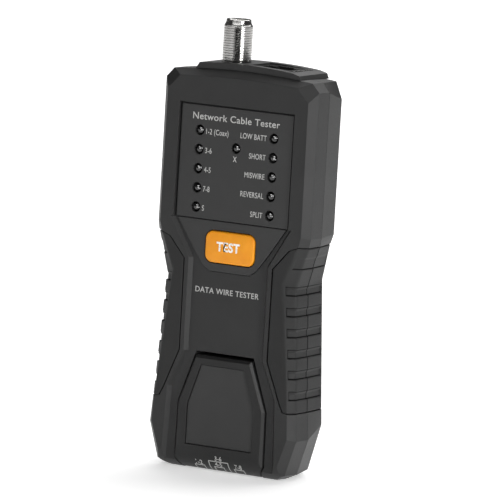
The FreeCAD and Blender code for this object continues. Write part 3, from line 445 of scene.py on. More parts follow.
def softened(node, radius_mm, turn=16.0, finish=None):
    """A welded copy of a CAD node with its edges rounded by radius_mm."""
    mesh = frame["nodes"][node].data.copy()
    work = bmesh.new()
    work.from_mesh(mesh)
    bmesh.ops.remove_doubles(work, verts=work.verts, dist=0.002 * MM)
    bmesh.ops.dissolve_degenerate(work, edges=work.edges, dist=0.002 * MM)
    bmesh.ops.dissolve_limit(work, verts=work.verts, edges=work.edges, angle_limit=math.radians(0.6))
    work.to_mesh(mesh)
    work.free()
    mesh.shade_smooth()
    mesh.set_sharp_from_angle(angle=math.radians(turn))
    piece = bpy.data.objects.new(node + "_moulding", mesh)
    bpy.context.scene.collection.objects.link(piece)
    round_edges = piece.modifiers.new("rounded_edges", "BEVEL")
    round_edges.width = radius_mm * MM
    round_edges.segments = SEGMENTS
    round_edges.limit_method = "ANGLE"
    round_edges.angle_limit = math.radians(turn)
    round_edges.harden_normals = True
    round_edges.use_clamp_overlap = False
    mesh.materials.clear()
    mesh.materials.append(finish or FINISHES[SLOT_OF[node]])
    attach(piece, BODY_OF[node])
    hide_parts(node)
    return piece


EDGE_RADIUS, INLAY_RADIUS = 0.12, 0.08
ROUNDED = {"remote_front_shell": remote_abs, "remote_rear_shell": remote_abs, "button_bezel": None,
           "door_latch": None, "remote_inlay": inlay_abs}
for node_name, own_finish in ROUNDED.items():
    softened(node_name, INLAY_RADIUS if node_name == "remote_inlay" else EDGE_RADIUS, finish=own_finish)
print(len(ROUNDED), "mouldings with rounded edges")

# %% [markdown]
# ## Surfaces from arrays
#
# New pieces are surfaces worked out with numpy.  A grid of points is a table with rows and columns;
# four neighbours make a face.  One function numbers those faces, one sweeps a profile round an axis,
# and one turns grids into a piece that rides on its body.

# %% Helpers for surfaces
def grid_faces(rows, columns, close_rows=False, close_columns=False):
    """Corner numbers of the quads of a rows x columns grid; a closed direction joins its ends."""
    row, column = np.meshgrid(np.arange(rows if close_rows else rows - 1),
                              np.arange(columns if close_columns else columns - 1), indexing="ij")
    next_row, next_column = (row + 1) % rows, (column + 1) % columns
    quads = [row * columns + column, row * columns + next_column,
             next_row * columns + next_column, next_row * columns + column]
    return np.stack(quads, axis=-1).reshape(-1, 4)


def revolved(profile_mm, centre, axis="z", turns=48):
    """Grid: centre + radius (cos t, sin t) across the axis + height along it, from (radius, height) rows."""
    profile = np.asarray(profile_mm, float) * MM
    t = np.linspace(0.0, 2 * np.pi, turns, endpoint=False)
    radius, height = profile[:, :1], profile[:, 1:2]
    across, side, along = radius * np.cos(t), radius * np.sin(t), height + 0.0 * t
    stacked = (across, side, along) if axis == "z" else (across, along, side)
    return np.stack(stacked, axis=-1) + np.asarray(centre)


def build(name, grids, body, finish, closed=(False, True), sharp=40.0, replaces=()):
    """One piece from a list of grids; poles are welded and faces are turned outwards."""
    work = bmesh.new()
    for grid in grids:
        rows, columns = grid.shape[:2]
        part = bpy.data.meshes.new("part")
        part.from_pydata(grid.reshape(-1, 3).tolist(), [], grid_faces(rows, columns, *closed).tolist())
        work.from_mesh(part)
        bpy.data.meshes.remove(part)
    bmesh.ops.remove_doubles(work, verts=work.verts, dist=0.001 * MM)
    bmesh.ops.dissolve_degenerate(work, edges=work.edges, dist=0.001 * MM)
    bmesh.ops.recalc_face_normals(work, faces=work.faces)
    return finish_piece(name, work, body, finish, sharp, replaces)


def finish_piece(name, work, body, finish, sharp=40.0, replaces=()):
    """Turn a bmesh into a piece with its finish and body."""
    mesh = bpy.data.meshes.new(name)
    work.to_mesh(mesh)
    work.free()
    mesh.shade_smooth()
    mesh.set_sharp_from_angle(angle=math.radians(sharp))
    mesh.materials.append(finish)
    piece = bpy.data.objects.new(name, mesh)
    bpy.context.scene.collection.objects.link(piece)
    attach(piece, body)
    if replaces:
        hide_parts(*replaces)
    return piece


def cap_ends(piece):
    """Close every open end of a piece with one flat face."""
    work = bmesh.new()
    work.from_mesh(piece.data)
    bmesh.ops.holes_fill(work, edges=[edge for edge in work.edges if edge.is_boundary], sides=0)
    bmesh.ops.recalc_face_normals(work, faces=work.faces)
    work.to_mesh(piece.data)
    work.free()


print("a 3 x 4 grid has", len(grid_faces(3, 4)), "faces, or", len(grid_faces(3, 4, False, True)), "closed")

# %% [markdown]
# ## Rubber grips
#
# Each grip is a soft skin laid over the side of a shell.  Finger notches run across it: the rubber
# slopes in gently under the upper edge of each notch and comes back out in a sharp step at its lower
# edge.  The skin is a grid: rows climb along Z and columns run round the section of the shell, from
# the grip's outline on the front or the back to the parting plane.  Its corners are rounded by
# averaging each row of points with its neighbours, then the notches and the rounded rim push points
# inwards along the normal.  A second, plain layer a little further in closes each row into a loop,
# which gives the skin its thickness.

# %% Mould the grips
HALF = shell_high[0] / MM
BACK_Y = corners("rear_shell")[1][1] / MM
BEZEL_LOW = corners("button_bezel")[0][2] / MM
REMOTE_TOP = remote_high[2] / MM
grip_low, grip_high = (corner / MM for corner in corners("grip_front_right"))
PARTING_GAP = 0.12
RIM_GROOVE = 0.35
BEVEL_Y = FRONT_Y / MM + 2.7
REAR_SIDE_Y = BACK_Y - 7.2
GRIP_LOW, GRIP_TOP = grip_low[2] - RIM_GROOVE, grip_high[2] + RIM_GROOVE
WAIST = BEZEL_LOW - 1.7
# How far each edge line of the housing lies inside its half width, at the grip's foot, waist and top.
EDGE_LINES = {
    "front": ((GRIP_LOW, 3.5), (WAIST + 0.4, 8.3), (GRIP_TOP + 0.5, 2.9)),
    "bevel": ((GRIP_LOW, 1.65), (WAIST, 4.1), (GRIP_TOP, 0.5)),
    "parting": ((GRIP_LOW, 1.4), (WAIST, 3.8), (GRIP_TOP, 0.3)),
    "rear": ((GRIP_LOW, 1.8), (WAIST + 1.0, 4.3), (GRIP_TOP, 2.1)),
    "back": ((GRIP_LOW + 0.7, 6.9), (WAIST + 1.0, 9.4), (GRIP_TOP, 7.2)),
}
FRONT_RIM = ((GRIP_LOW, 3.2), (GRIP_LOW + 0.5, 5.6), (GRIP_LOW + 3.2, 7.0), (REMOTE_TOP + 0.9, 12.3),
             (BEZEL_LOW + 3.3, 12.2), (GRIP_TOP - 1.4, 6.5), (GRIP_TOP, 3.0))
BACK_REACH = 0.6
ROW_STEP = 0.1
SKIN = 1.0
RIM_ROUND, PARTING_ROUND = 0.35, 0.15
# JOINT_SHADE: width in mm of the groove along the rim and the parting line, sunk and painted with shade.
JOINT_SHADE, GROOVE_DEPTH = 0.2, 0.2

# Notches: the window starts this share of the way across the bevel and fades in over WINDOW_FADE.
NOTCH_COUNT, NOTCH_PITCH, NOTCH_HEIGHT, NOTCH_DEPTH = 6, 6.7, 2.8, 0.5
FIRST_FOOT = BEZEL_LOW - 4.8
WINDOW_START, WINDOW_FADE, WINDOW_LINE = 0.26, 0.07, 0.035
NOTCH_RAMP, NOTCH_STEP = 0.9, 0.12
LINE_WIDTH = 0.17
SHALLOW_TOP, SHALLOW_HEIGHT, SHALLOW_DEPTH = BEZEL_LOW + 8.1, 4.2, 0.22


def along(line, z):
    """Half width minus the inset of an edge line at each height."""
    heights, insets = zip(*line)
    return HALF - np.interp(z, heights, insets)


def smooth_step(x, start_at, end_at):
    """0 before start_at, 1 after end_at, 3 t^2 - 2 t^3 between."""
    t = np.clip((x - start_at) / (end_at - start_at), 0, 1)
    return t * t * (3 - 2 * t)


def section_grid(stations, z):
    """Points (x, y, z): each row joins its stations by straight runs of evenly spaced columns."""
    runs = []
    for number, ((x0, y0), (x1, y1), count) in enumerate(stations):
        share = np.linspace(0, 1, count + 1)[None, (0 if number == 0 else 1):]
        x = x0[:, None] + (x1 - x0)[:, None] * share
        y = y0 + (y1 - y0) * share + 0 * z[:, None]
        runs.append(np.stack([x, y, z[:, None] + 0 * share], axis=-1))
    return np.concatenate(runs, axis=1)


def rounded_rows(grid, passes=3):
    """Each pass replaces a point by a quarter, a half and a quarter of its row neighbours and itself."""
    for _ in range(passes):
        grid[:, 1:-1] = 0.25 * grid[:, :-2] + 0.5 * grid[:, 1:-1] + 0.25 * grid[:, 2:]
    return grid


def hairline(z, height):
    """Strength of a level groove: exp(-(distance / width) squared)."""
    return np.exp(-((z - height) / LINE_WIDTH) ** 2)


def notches(z, share):
    """Depth in mm and groove strength (sunk, with painted shade): soft ramp at top, sharp step at foot, lines
    round both.
    """
    depth = np.zeros(np.broadcast(z, share).shape)
    groove = np.zeros_like(depth)
    window = smooth_step(share, WINDOW_START, WINDOW_START + WINDOW_FADE)
    side_line = 0.9 * np.exp(-((share - WINDOW_START - 0.02) / WINDOW_LINE) ** 2)
    for number in range(NOTCH_COUNT):
        foot = FIRST_FOOT - number * NOTCH_PITCH
        head = foot + NOTCH_HEIGHT
        inside = smooth_step(z, foot, foot + NOTCH_STEP) * (1 - smooth_step(z, head - NOTCH_RAMP, head))
        tall = smooth_step(z, foot - 0.1, foot) * (1 - smooth_step(z, head, head + 0.2))
        depth += window * NOTCH_DEPTH * inside
        groove += window * (hairline(z, foot + 0.1) + 0.8 * hairline(z, head)) + side_line * tall
    foot = SHALLOW_TOP - SHALLOW_HEIGHT
    shallow = smooth_step(z, foot, foot + 0.3) * (1 - smooth_step(z, SHALLOW_TOP - 1.0, SHALLOW_TOP))
    depth += window * SHALLOW_DEPTH * shallow
    groove += window * hairline(z, foot + 0.1)
    return depth, np.clip(groove, 0, 1)


def part_way(start_at, end_at, share):
    """The station a share of the way from one station to the next."""
    return tuple(a + (b - a) * share for a, b in zip(start_at, end_at))


def front_stations(edge, z):
    """Stations of a front grip, rim to parting line, and each column's share of the way over the bevel."""
    rim = np.minimum(along(FRONT_RIM, z) + RIM_GROOVE, edge["front"] - 0.05)
    near_rim = np.minimum(rim + 0.4, edge["front"] - 0.03)
    corner, fold = (edge["front"], FRONT_Y / MM), (edge["bevel"], BEVEL_Y)
    parting = (edge["parting"], grip_high[1])
    near = part_way(fold, parting, 0.95)
    stations = [((rim, corner[1]), (near_rim, corner[1]), 4), ((near_rim, corner[1]), corner, 11),
                (corner, fold, 16), (fold, near, 16), (near, parting, 5)]
    return stations, np.concatenate([np.full(16, -1.0), np.linspace(0, 1, 17)[1:], np.full(21, 1.0)])


def rear_stations(edge):
    """Stations of a rear grip, parting line to rim; the notches fade out past the first bend."""
    parting, fold = (edge["parting"], grip_high[1] + 2 * PARTING_GAP), (edge["rear"], REAR_SIDE_Y)
    corner, rim = (edge["back"], BACK_Y), (edge["back"] - BACK_REACH + RIM_GROOVE, BACK_Y)
    near = part_way(parting, fold, 0.035)
    stations = [(parting, near, 5), (near, fold, 20), (fold, corner, 20), (corner, rim, 5)]
    return stations, np.concatenate([np.full(22, 1.0), 1.0 - np.linspace(0, 1, 5)[1:], np.full(25, -1.0)])


def grip(node, side, front):
    """side is 1 for the right-hand grip and -1 for the left; front picks the half of the housing."""
    z = np.linspace(GRIP_LOW + RIM_GROOVE, GRIP_TOP - RIM_GROOVE, int((GRIP_TOP - GRIP_LOW) / ROW_STEP))
    edge = {name: along(line, z) for name, line in EDGE_LINES.items()}
    stations, share = front_stations(edge, z) if front else rear_stations(edge)
    grid = rounded_rows(section_grid(stations, z))
    normal = np.cross(np.gradient(grid, axis=1), np.gradient(grid, axis=0))
    normal /= np.linalg.norm(normal, axis=-1, keepdims=True)
    steps = np.linalg.norm(np.diff(grid, axis=1), axis=-1)
    from_start = np.concatenate([np.zeros((len(z), 1)), np.cumsum(steps, axis=1)], axis=1)
    from_end = from_start[:, -1:] - from_start
    rim_side, parting_side = (from_start, from_end) if front else (from_end, from_start)
    depth, groove = notches(z[:, None], share[None, :])
    ends = (z[:, None] - z[0], z[-1] - z[:, None])
    for away, edge_round in ((rim_side, RIM_ROUND), (parting_side, PARTING_ROUND),
                             (ends[0], RIM_ROUND), (ends[1], RIM_ROUND)):
        gap = np.clip(1 - away / edge_round, 0, 1)
        depth = depth + edge_round * (1 - np.sqrt(1 - gap ** 2))
    # Grooves along the parting line and the rim: sunk, and painted with shade.
    for away in (parting_side, rim_side):
        groove = np.maximum(groove, np.clip(1 - away / JOINT_SHADE, 0, 1))
    outer = grid - normal * (depth + GROOVE_DEPTH * groove)[..., None]
    inner = grid - normal * SKIN
    shell = np.concatenate([outer, inner[:, ::-1]], axis=1)
    shell[..., 0] *= side
    piece = build(node + "_skin", [shell * MM], "housing", skin_rubber, closed=(False, True),
                  sharp=50.0, replaces=[node])
    # Through "open", the rubber paints shade into the grooves.
    openness = np.concatenate([1 - groove, 0 * groove + 1], axis=1)
    opened = piece.data.attributes.new("open", "FLOAT", "POINT")
    opened.data.foreach_set("value", openness.ravel().astype(np.float32))
    return piece


grips = [grip(f"grip_{half}_{name}", side, half == "front") for half in ("front", "rear")
         for name, side in (("left", -1), ("right", 1))]
print(len(grips), "grips of", [len(piece.data.polygons) for piece in grips], "faces")

# %% [markdown]
# ## Tongue behind the parting line
#
# The two shells of a moulded housing meet in a tongue and groove, so no light passes through the
# joint.  The tongue is drawn as a thin ribbon up each side: its rows climb along Z, and its four
# columns go round a thin rectangle set a little way inside the wall.

# %% Close the joint from inside
TONGUE_INSET, TONGUE_HALF, TONGUE_THICK = 0.9, 0.5, 0.3
TONGUE_LOW, TONGUE_HIGH = 4.0, GRIP_TOP + 47.0
PARTING_Y = grip_high[1] + PARTING_GAP
PARTING_FOOT = ((1.9, 4.0), (13.6, 0.5))


def tongue(side):
    """Point = (side (half width at z - inset), y, z) round a rectangle, the ribbon's section."""
    z = np.linspace(TONGUE_LOW, TONGUE_HIGH, 60)[:, None]
    line = PARTING_FOOT + EDGE_LINES["parting"]
    ring = np.array([[0, -TONGUE_HALF], [0, TONGUE_HALF],
                     [-TONGUE_THICK, TONGUE_HALF], [-TONGUE_THICK, -TONGUE_HALF]])
    x = side * (along(line, z) - TONGUE_INSET + ring[:, 0])
    return np.stack([x, PARTING_Y + ring[:, 1] + 0 * x, z + 0 * x], axis=-1) * MM


tongues = build("parting_tongue", [tongue(-1), tongue(1)], "housing", shell_abs)
print(tongues.name, "closes the joint from", TONGUE_LOW, "to", round(TONGUE_HIGH, 1), "mm")

# %% [markdown]
# ## The threaded coax jack
#
# The jack is turned from a bar and threaded 3/8-32: 32 threads to the inch, which is a pitch of 0.794
# mm.  A real thread is a helix, so the radius depends on both height and angle: it rises and falls
# like a triangle wave along the axis, and the wave slides by one pitch in one turn.  The wave is
# clipped, which leaves wide flat crests and narrow grooves.  Past the thread comes a neck that tapers
# to a rounded lip, and the bore that holds the insulator.

# %% Cut the thread
THREAD_PITCH = 25.4 / 32
THREAD_DEPTH = 0.20
CREST_SHARE, ROOT_SHARE = 0.74, 0.9
ROWS_PER_TURN, COLUMNS = 16, 72
TOP_PLAIN = 1.85
BORE, BASE_R = 3.1, 4.4


def coax_barrel():
    """Radius = major - depth * clipped triangle wave of (z / pitch - t / 2 pi), faded at both ends."""
    centre = np.array([(coax_low[0] + coax_high[0]) / 2, (coax_low[1] + coax_high[1]) / 2, 0.0])
    major = (coax_high[0] - coax_low[0]) / 2 / MM
    bottom = corners("connector_plinth")[1][2] / MM
    top = coax_high[2] / MM
    inner_low = coax_low[2] / MM
    thread_top = top - TOP_PLAIN
    z = np.linspace(bottom + 0.05, thread_top, int((thread_top - bottom) / THREAD_PITCH * ROWS_PER_TURN))
    t = np.linspace(0, 2 * np.pi, COLUMNS, endpoint=False)
    phase = z[:, None] / THREAD_PITCH - t[None, :] / (2 * np.pi)
    wave = np.abs(2 * (phase - np.floor(phase + 0.5)))
    fade = (np.clip((z - bottom) / 0.5, 0, 1) * np.clip((thread_top - z) / 0.4, 0, 1))[:, None]
    groove = np.clip((wave - CREST_SHARE) / (ROOT_SHARE - CREST_SHARE), 0, 1)
    radius = major - THREAD_DEPTH * (groove * fade + (1 - fade))
    thread = np.stack([radius * np.cos(t), radius * np.sin(t), z[:, None] + 0 * t], axis=-1) * MM + centre
    root = major - THREAD_DEPTH
    foot = [(BORE, inner_low), (BASE_R, inner_low), (BASE_R, bottom), (root, bottom + 0.02)]
    neck = [(root - 0.1, thread_top + 0.1), (4.3, thread_top + 0.3), (4.05, top - 0.9), (4.0, top - 0.35),
            (3.93, top - 0.14), (3.8, top - 0.03), (3.7, top), (3.45, top), (3.3, top - 0.04),
            (BORE, top - 0.35), (BORE, inner_low)]
    below, above = (revolved(profile, centre, turns=COLUMNS) for profile in (foot, neck))
    return build("coax_barrel_threaded", [np.concatenate([below, thread, above])], "housing",
                 nickel, closed=(True, True), sharp=32.0, replaces=["coax_barrel"])


barrel = coax_barrel()
print(barrel.name, "has", len(barrel.data.polygons), "faces")

# %% [markdown]
# ## Lamp lenses
#
# Each lamp is a 3 mm round lamp.  Its lens is a half sphere on a straight stem, turned as a profile
# about the lamp's axis.  The white specks of its highlight are painted: small pale patches, shaped like
# parts of a lead frame, lie on the dome right of its tip, and each lamp's are turned a little by
# chance, as soldered lamps are.

# %% Turn the lamps
LENS_R, FLANGE_R, FLANGE_THICK = 1.5, 1.9, 0.9
# Each patch of painted highlight: angles from the tip, from and to, then round it, from and to, in degrees.
HIGHLIGHT_SPECKS = ((10, 30, -20, 30), (16, 34, 40, 80), (36, 50, -15, 15))
SPECK_SUNK, SPECK_PROUD = 0.05, 0.01


def lamp(node):
    """Profile: half circle of the lens radius, straight stem, and a wider flange at the board."""
    low, high = corners(node)
    centre = np.array([(low[0] + high[0]) / 2, low[1], (low[2] + high[2]) / 2])
    length = (high[1] - low[1]) / MM
    arc = np.linspace(0, np.pi / 2, 10)
    dome = np.stack([LENS_R * np.sin(arc), LENS_R * (1 - np.cos(arc))], axis=-1)
    stem = [(LENS_R, length - FLANGE_THICK), (FLANGE_R, length - FLANGE_THICK + 0.05), (FLANGE_R, length),
            (0.0, length)]
    return build(node + "_lens", [revolved(np.vstack([dome, stem]), centre, "y", 32)], "housing",
                 lens_epoxy, replaces=[node])


def highlight_specks(node, turn):
    """Patches of painted highlight on the dome: angle from the tip along rows, angle round it along columns.
    """
    low, high = corners(node)
    centre = np.array([(low[0] + high[0]) / 2, low[1] + LENS_R * MM, (low[2] + high[2]) / 2])
    patches = []
    for tip_from, tip_to, round_from, round_to in HIGHLIGHT_SPECKS:
        tilt = np.radians(np.linspace(tip_from, tip_to, 5))[:, None]
        spin = np.radians(np.linspace(round_from, round_to, 7) + turn)[None, :]
        narrowing = np.linspace(0.15, 1.0, 5)[:, None]
        spin = spin.mean() + (spin - spin.mean()) * narrowing
        way = np.stack([np.sin(tilt) * np.cos(spin), -np.cos(tilt) + 0 * spin,
                        np.sin(tilt) * np.sin(spin)], axis=-1)
        face, back = way * (LENS_R + SPECK_PROUD) * MM + centre, way * (LENS_R - SPECK_SUNK) * MM + centre
        patches.append(np.concatenate([face, back[::-1]]))
    return build(node + "_highlight_specks", patches, "housing", highlight_paint,
                 closed=(True, False), sharp=60.0)


# Each lamp: its lens, and pale patches of painted highlight lying on the dome.
lenses = [lamp(name) for name in LAMPS]
turns = np.random.default_rng(7).uniform(-25, 25, len(LAMPS))
specks = [highlight_specks(name, turn) for name, turn in zip(LAMPS, turns)]
print(len(lenses), "lenses with", len(HIGHLIGHT_SPECKS), "bright leads in each")

# %% [markdown]
# ## The test button
#
# The cap is a rounded rectangle with a crowned top: it bulges by a quarter of a millimetre, so that its
# highlight slides over it as the tester is tilted.  It is a stack of rounded rectangles, each one
# smaller than the last, whose heights follow a quarter circle at the rim and a gentle dome inside.

# %% Mould the button
def rounded_ring(width, height, corner, steps=8):
    """Closed outline: four quarter circles of radius corner, joined by straight sides."""
    t = np.linspace(0, np.pi / 2, steps)
    quarter = np.stack([np.cos(t), np.sin(t)], axis=-1) * corner
    ring = []
    for turn, (sx, sz) in enumerate(((1, 1), (-1, 1), (-1, -1), (1, -1))):
        c, s = math.cos(turn * math.pi / 2), math.sin(turn * math.pi / 2)
        spun = quarter @ np.array([[c, s], [-s, c]])
        ring.append(spun + [sx * (width / 2 - corner), sz * (height / 2 - corner)])
    return np.vstack(ring)


BUTTON_RIM, BUTTON_CROWN, BUTTON_CORNER = 0.55, 0.22, 2.6
FLANGE_REACH, FLANGE_DEPTH = 1.1, 0.8
CAP_WIDTH = (button_high[0] - button_low[0]) / MM - 2 * FLANGE_REACH
CAP_HEIGHT = (button_high[2] - button_low[2]) / MM - 2 * FLANGE_REACH


def button_cap():
    """Rings of (inset, y): flange, side, quarter-circle rim, then a dome up to the middle."""
    centre = (button_low + button_high) / 2
    front, back = button_low[1] / MM, button_high[1] / MM
    shoulder = back - FLANGE_DEPTH
    rows = [(-FLANGE_REACH, back), (-FLANGE_REACH, shoulder), (0.0, shoulder)]
    arc = np.linspace(0, np.pi / 2, 6)
    rows += [(BUTTON_RIM * (1 - math.cos(a)), front + BUTTON_CROWN + BUTTON_RIM * (1 - math.sin(a)))
             for a in arc]
    reach = CAP_HEIGHT / 2
    inside = np.linspace(0.9, reach - 0.02, 10)
    rows += [(i, front + BUTTON_CROWN * (1 - (i - BUTTON_RIM) / (reach - BUTTON_RIM)) ** 2) for i in inside]
    rings = []
    for inset, y in rows:
        tall = max(CAP_HEIGHT - 2 * inset, 0.05)
        ring = rounded_ring(CAP_WIDTH - 2 * inset, tall, min(max(BUTTON_CORNER - inset, 0.02), tall / 2))
        rings.append(np.stack([ring[:, 0], np.full(len(ring), y), ring[:, 1]], axis=-1))
    return np.array(rings) * MM + np.array([centre[0], 0.0, centre[2]])


cap = build("test_button_cap", [button_cap()], "button", button_abs, sharp=35.0,
            replaces=["test_button"])
cap_ends(cap)
print("button cap has", len(cap.data.polygons), "faces")

# %% [markdown]
# ## Printed labels
#
# The labels name the lamps: one for each wire pair, and one for each fault.  A text object gives the
# outlines, which are made a mesh, squeezed to the width of a condensed face and laid on the panel a
# hundredth of a millimetre proud.  All labels of one piece are joined, as one pass of the screen
# prints them together.

# %% Print the panel
INK_THICK = 0.015
LETTER_SPACE = 1.07
LABEL_WEIGHT = 0.008
CONDENSED = 0.74


def text_mesh(text, weight=LABEL_WEIGHT):
    """A line of text as a mesh in its own XY plane, and its points; weight thickens it, in ems."""
    curve = bpy.data.curves.new("line", "FONT")
    curve.body = text
    curve.offset = weight
    curve.space_character = LETTER_SPACE
    curve.extrude = 0.5
    holder = bpy.data.objects.new("line", curve)
    bpy.context.scene.collection.objects.link(holder)
    bpy.context.view_layer.update()
    mesh = bpy.data.meshes.new_from_object(holder)
    bpy.data.objects.remove(holder)
    bpy.data.curves.remove(curve)
    points = np.zeros(len(mesh.vertices) * 3)
    mesh.vertices.foreach_get("co", points)
    return mesh, points.reshape(-1, 3)


letter_mesh, letter_points = text_mesh("H")
CAP_SHARE = np.ptp(letter_points[:, 1])
bpy.data.meshes.remove(letter_mesh)


def print_lines(name, lines, body, face, finish, weight=LABEL_WEIGHT, lift=0.0):
    """lines are (text, x, align, baseline, cap height, width or None), in mm; face gives y for (x, z)."""
    work = bmesh.new()
    for text, x, align, base, cap_height, wide in lines:
        mesh, points = text_mesh(text, weight)
        scale = cap_height / CAP_SHARE
        low, span = points[:, 0].min(), np.ptp(points[:, 0])
        stretch = wide / span if wide else scale * CONDENSED
        across = (points[:, 0] - low) * stretch
        start_x = {"left": x, "centre": x - span * stretch / 2, "right": x - span * stretch}[align]
        px, pz = across + start_x, points[:, 1] * scale + base
        py = np.maximum(face(px, pz) - lift - INK_THICK * (points[:, 2] + 0.5), FRONT_Y / MM)
        mesh.vertices.foreach_set("co", (np.stack([px, py, pz], axis=-1) * MM).ravel())
        work.from_mesh(mesh)
        bpy.data.meshes.remove(mesh)
    bmesh.ops.remove_doubles(work, verts=work.verts, dist=0.0005 * MM)
    return finish_piece(name, work, body, finish, 30.0)


LABEL_CAP = 1.75
LABEL_DROP = 1.05
PAIRS = ("1-2 (Coax)", "3-6", "4-5", "7-8", "S")
FAULTS = ("LOW BATT", "SHORT", "MISWIRE", "REVERSAL", "SPLIT")


def lamp_centre(number):
    """Centre (x, z) of a numbered lamp, in mm."""
    low, high = corners(f"lamp_{number:02d}")
    return (low[0] + high[0]) / 2 / MM, (low[2] + high[2]) / 2 / MM


def panel_lines():
    """Title, pair labels right of the left column, fault labels left of the right one, and the centre."""
    lines = [("Network Cable Tester", -16.6, "left", panel_high[2] / MM - 4.5, 2.15, 32.4)]
    for row in range(5):
        x, z = lamp_centre(row + 1)
        lines.append((PAIRS[row], x + 2.35, "left", z - LABEL_DROP, LABEL_CAP, None))
        x, z = lamp_centre(row + 6)
        lines.append((FAULTS[row], x - 2.6, "right", z - LABEL_DROP, LABEL_CAP, None))
    x, z = lamp_centre(11)
    lines.append(("X", x - 0.2, "centre", z - 4.4, LABEL_CAP, None))
    return lines


CENTRE_FACE = FRONT_Y / MM + 1.4
PRODUCT_LINE = ("DATA WIRE TESTER", -0.6, "centre", 57.8, 1.8, 23.7)
print_lines("panel_print", panel_lines(), "housing", lambda x, z: PANEL_Y / MM + 0 * x, label_ink)
print_lines("product_print", [PRODUCT_LINE], "housing", lambda x, z: CENTRE_FACE + 0 * x, label_ink)
print("labels:", len(panel_lines()), "on the panel")

# %% [markdown]
# ## The word on the button
#
# The word is printed on the crowned cap, so each of its points takes the height of the cap under it.
# The cap's rings are known, so the height is looked up from the inset at that point.

# %% Print the button
def cap_height_at(x, z):
    """y of the crowned cap over (x, z): the dome's formula at the inset of that point."""
    inset = np.minimum(CAP_WIDTH / 2 - np.abs(x - button_middle[0]),
                       CAP_HEIGHT / 2 - np.abs(z - button_middle[2]))
    share = np.clip(1 - (inset - BUTTON_RIM) / (CAP_HEIGHT / 2 - BUTTON_RIM), 0, 1)
    return button_low[1] / MM + BUTTON_CROWN * share ** 2


button_middle = (button_low + button_high) / 2 / MM
word = ("TEST", button_middle[0] - 0.35, "centre", button_middle[2] - 1.1, 2.85, 8.7)
button_print = print_lines("button_print", [word], "button", cap_height_at, button_ink,
                           weight=0.035, lift=0.03)
print(button_print.name, "sits at y =", round(float(button_low[1] / MM), 2))

# %% [markdown]
# ## The pin diagram on the remote
#
# The remote's lower slope shows which pins belong together: a bracket for each pair, with its numbers.
# The slope is a circular arc in the YZ plane, so every point of the print is laid on it by its height.

# %% Print the pin diagram
CHIN_DEPTH, CHIN_HEIGHT = 5.2, 8.0
BRACKET_LINE = 0.28


def arc_through(a, b, c):
    """Centre and radius of the circle through three (y, z) points."""
    (ax, ay), (bx, by), (cx, cy) = a, b, c
    a2, b2, c2 = ax ** 2 + ay ** 2, bx ** 2 + by ** 2, cx ** 2 + cy ** 2
    d = 2 * (ax * (by - cy) + bx * (cy - ay) + cx * (ay - by))
    ux = (a2 * (by - cy) + b2 * (cy - ay) + c2 * (ay - by)) / d
    uy = (a2 * (cx - bx) + b2 * (ax - cx) + c2 * (bx - ax)) / d
    return ux, uy, math.hypot(ax - ux, ay - uy)


front_mm = FRONT_Y / MM
ARC = arc_through((front_mm + CHIN_DEPTH, 0), (front_mm + 0.2 * CHIN_DEPTH, 0.37 * CHIN_HEIGHT),
                  (front_mm, CHIN_HEIGHT))


def chin_face(x, z):
    """y of the slope at height z: on the circle below its top, and on the flat front above it."""
    y = ARC[0] - np.sqrt(np.maximum(ARC[2] ** 2 - (z - ARC[1]) ** 2, 0))
    return np.where(z < CHIN_HEIGHT, y, front_mm) - 0.01 + 0 * x


def stroke(x0, z0, x1, z1):
    """A printed line as a closed grid: across its width and thickness, along its length."""
    run = np.linspace(0, 1, 10)[:, None]
    wide = BRACKET_LINE / 2
    upright = abs(x1 - x0) < abs(z1 - z0)
    across, lift = np.array([[-wide, 0], [wide, 0], [wide, 1], [-wide, 1]]).T
    x = x0 + (x1 - x0) * run + (across if upright else 0 * across)
    z = z0 + (z1 - z0) * run + (0 * across if upright else across)
    y = chin_face(x, z) - INK_THICK * lift
    return np.stack([x, y, z], axis=-1) * MM


def bracket(middle, half, low, top):
    """Two legs and a bar."""
    left, right, end = middle - half, middle + half, top + BRACKET_LINE / 2
    return [stroke(left, low, left, end), stroke(right, low, right, end), stroke(left, top, right, top)]


DIAGRAM_LOW = remote_low[2] / MM + 0.25
# Each bracket: middle, half width and the height of its bar, in mm.
BRACKETS = ((-7.3, 1.75, 1.85), (0.0, 1.75, 1.85), (7.4, 1.75, 1.85), (0.2, 3.6, 3.75))
NUMBERS = [("1-2", -7.2, "centre", 2.2, 1.4, 2.6), ("4-5", 0.1, "centre", 2.2, 1.3, 2.6),
           ("7-8", 7.5, "centre", 2.2, 1.4, 2.6), ("3-6", 0.3, "centre", 4.15, 1.4, 2.6)]
strokes = [line for middle, half, top in BRACKETS for line in bracket(middle, half, DIAGRAM_LOW, top)]
build("pin_diagram_lines", strokes, "remote", label_ink)
print_lines("pin_diagram_numbers", NUMBERS, "remote", chin_face, label_ink, weight=0.02, lift=0.02)
print("pin diagram:", len(strokes), "lines and", len(NUMBERS), "pair numbers")

# %% [markdown]
# ## Battery springs
#
# The contact springs are wire coils that narrow towards their tips.  A coil is a helix whose radius
# shrinks as it climbs, and the wire is a small circle carried along it.

# %% Wind the springs
WIRE = 0.35
COILS = 4.5
FOOT_R, TIP_R = 3.4, 2.4


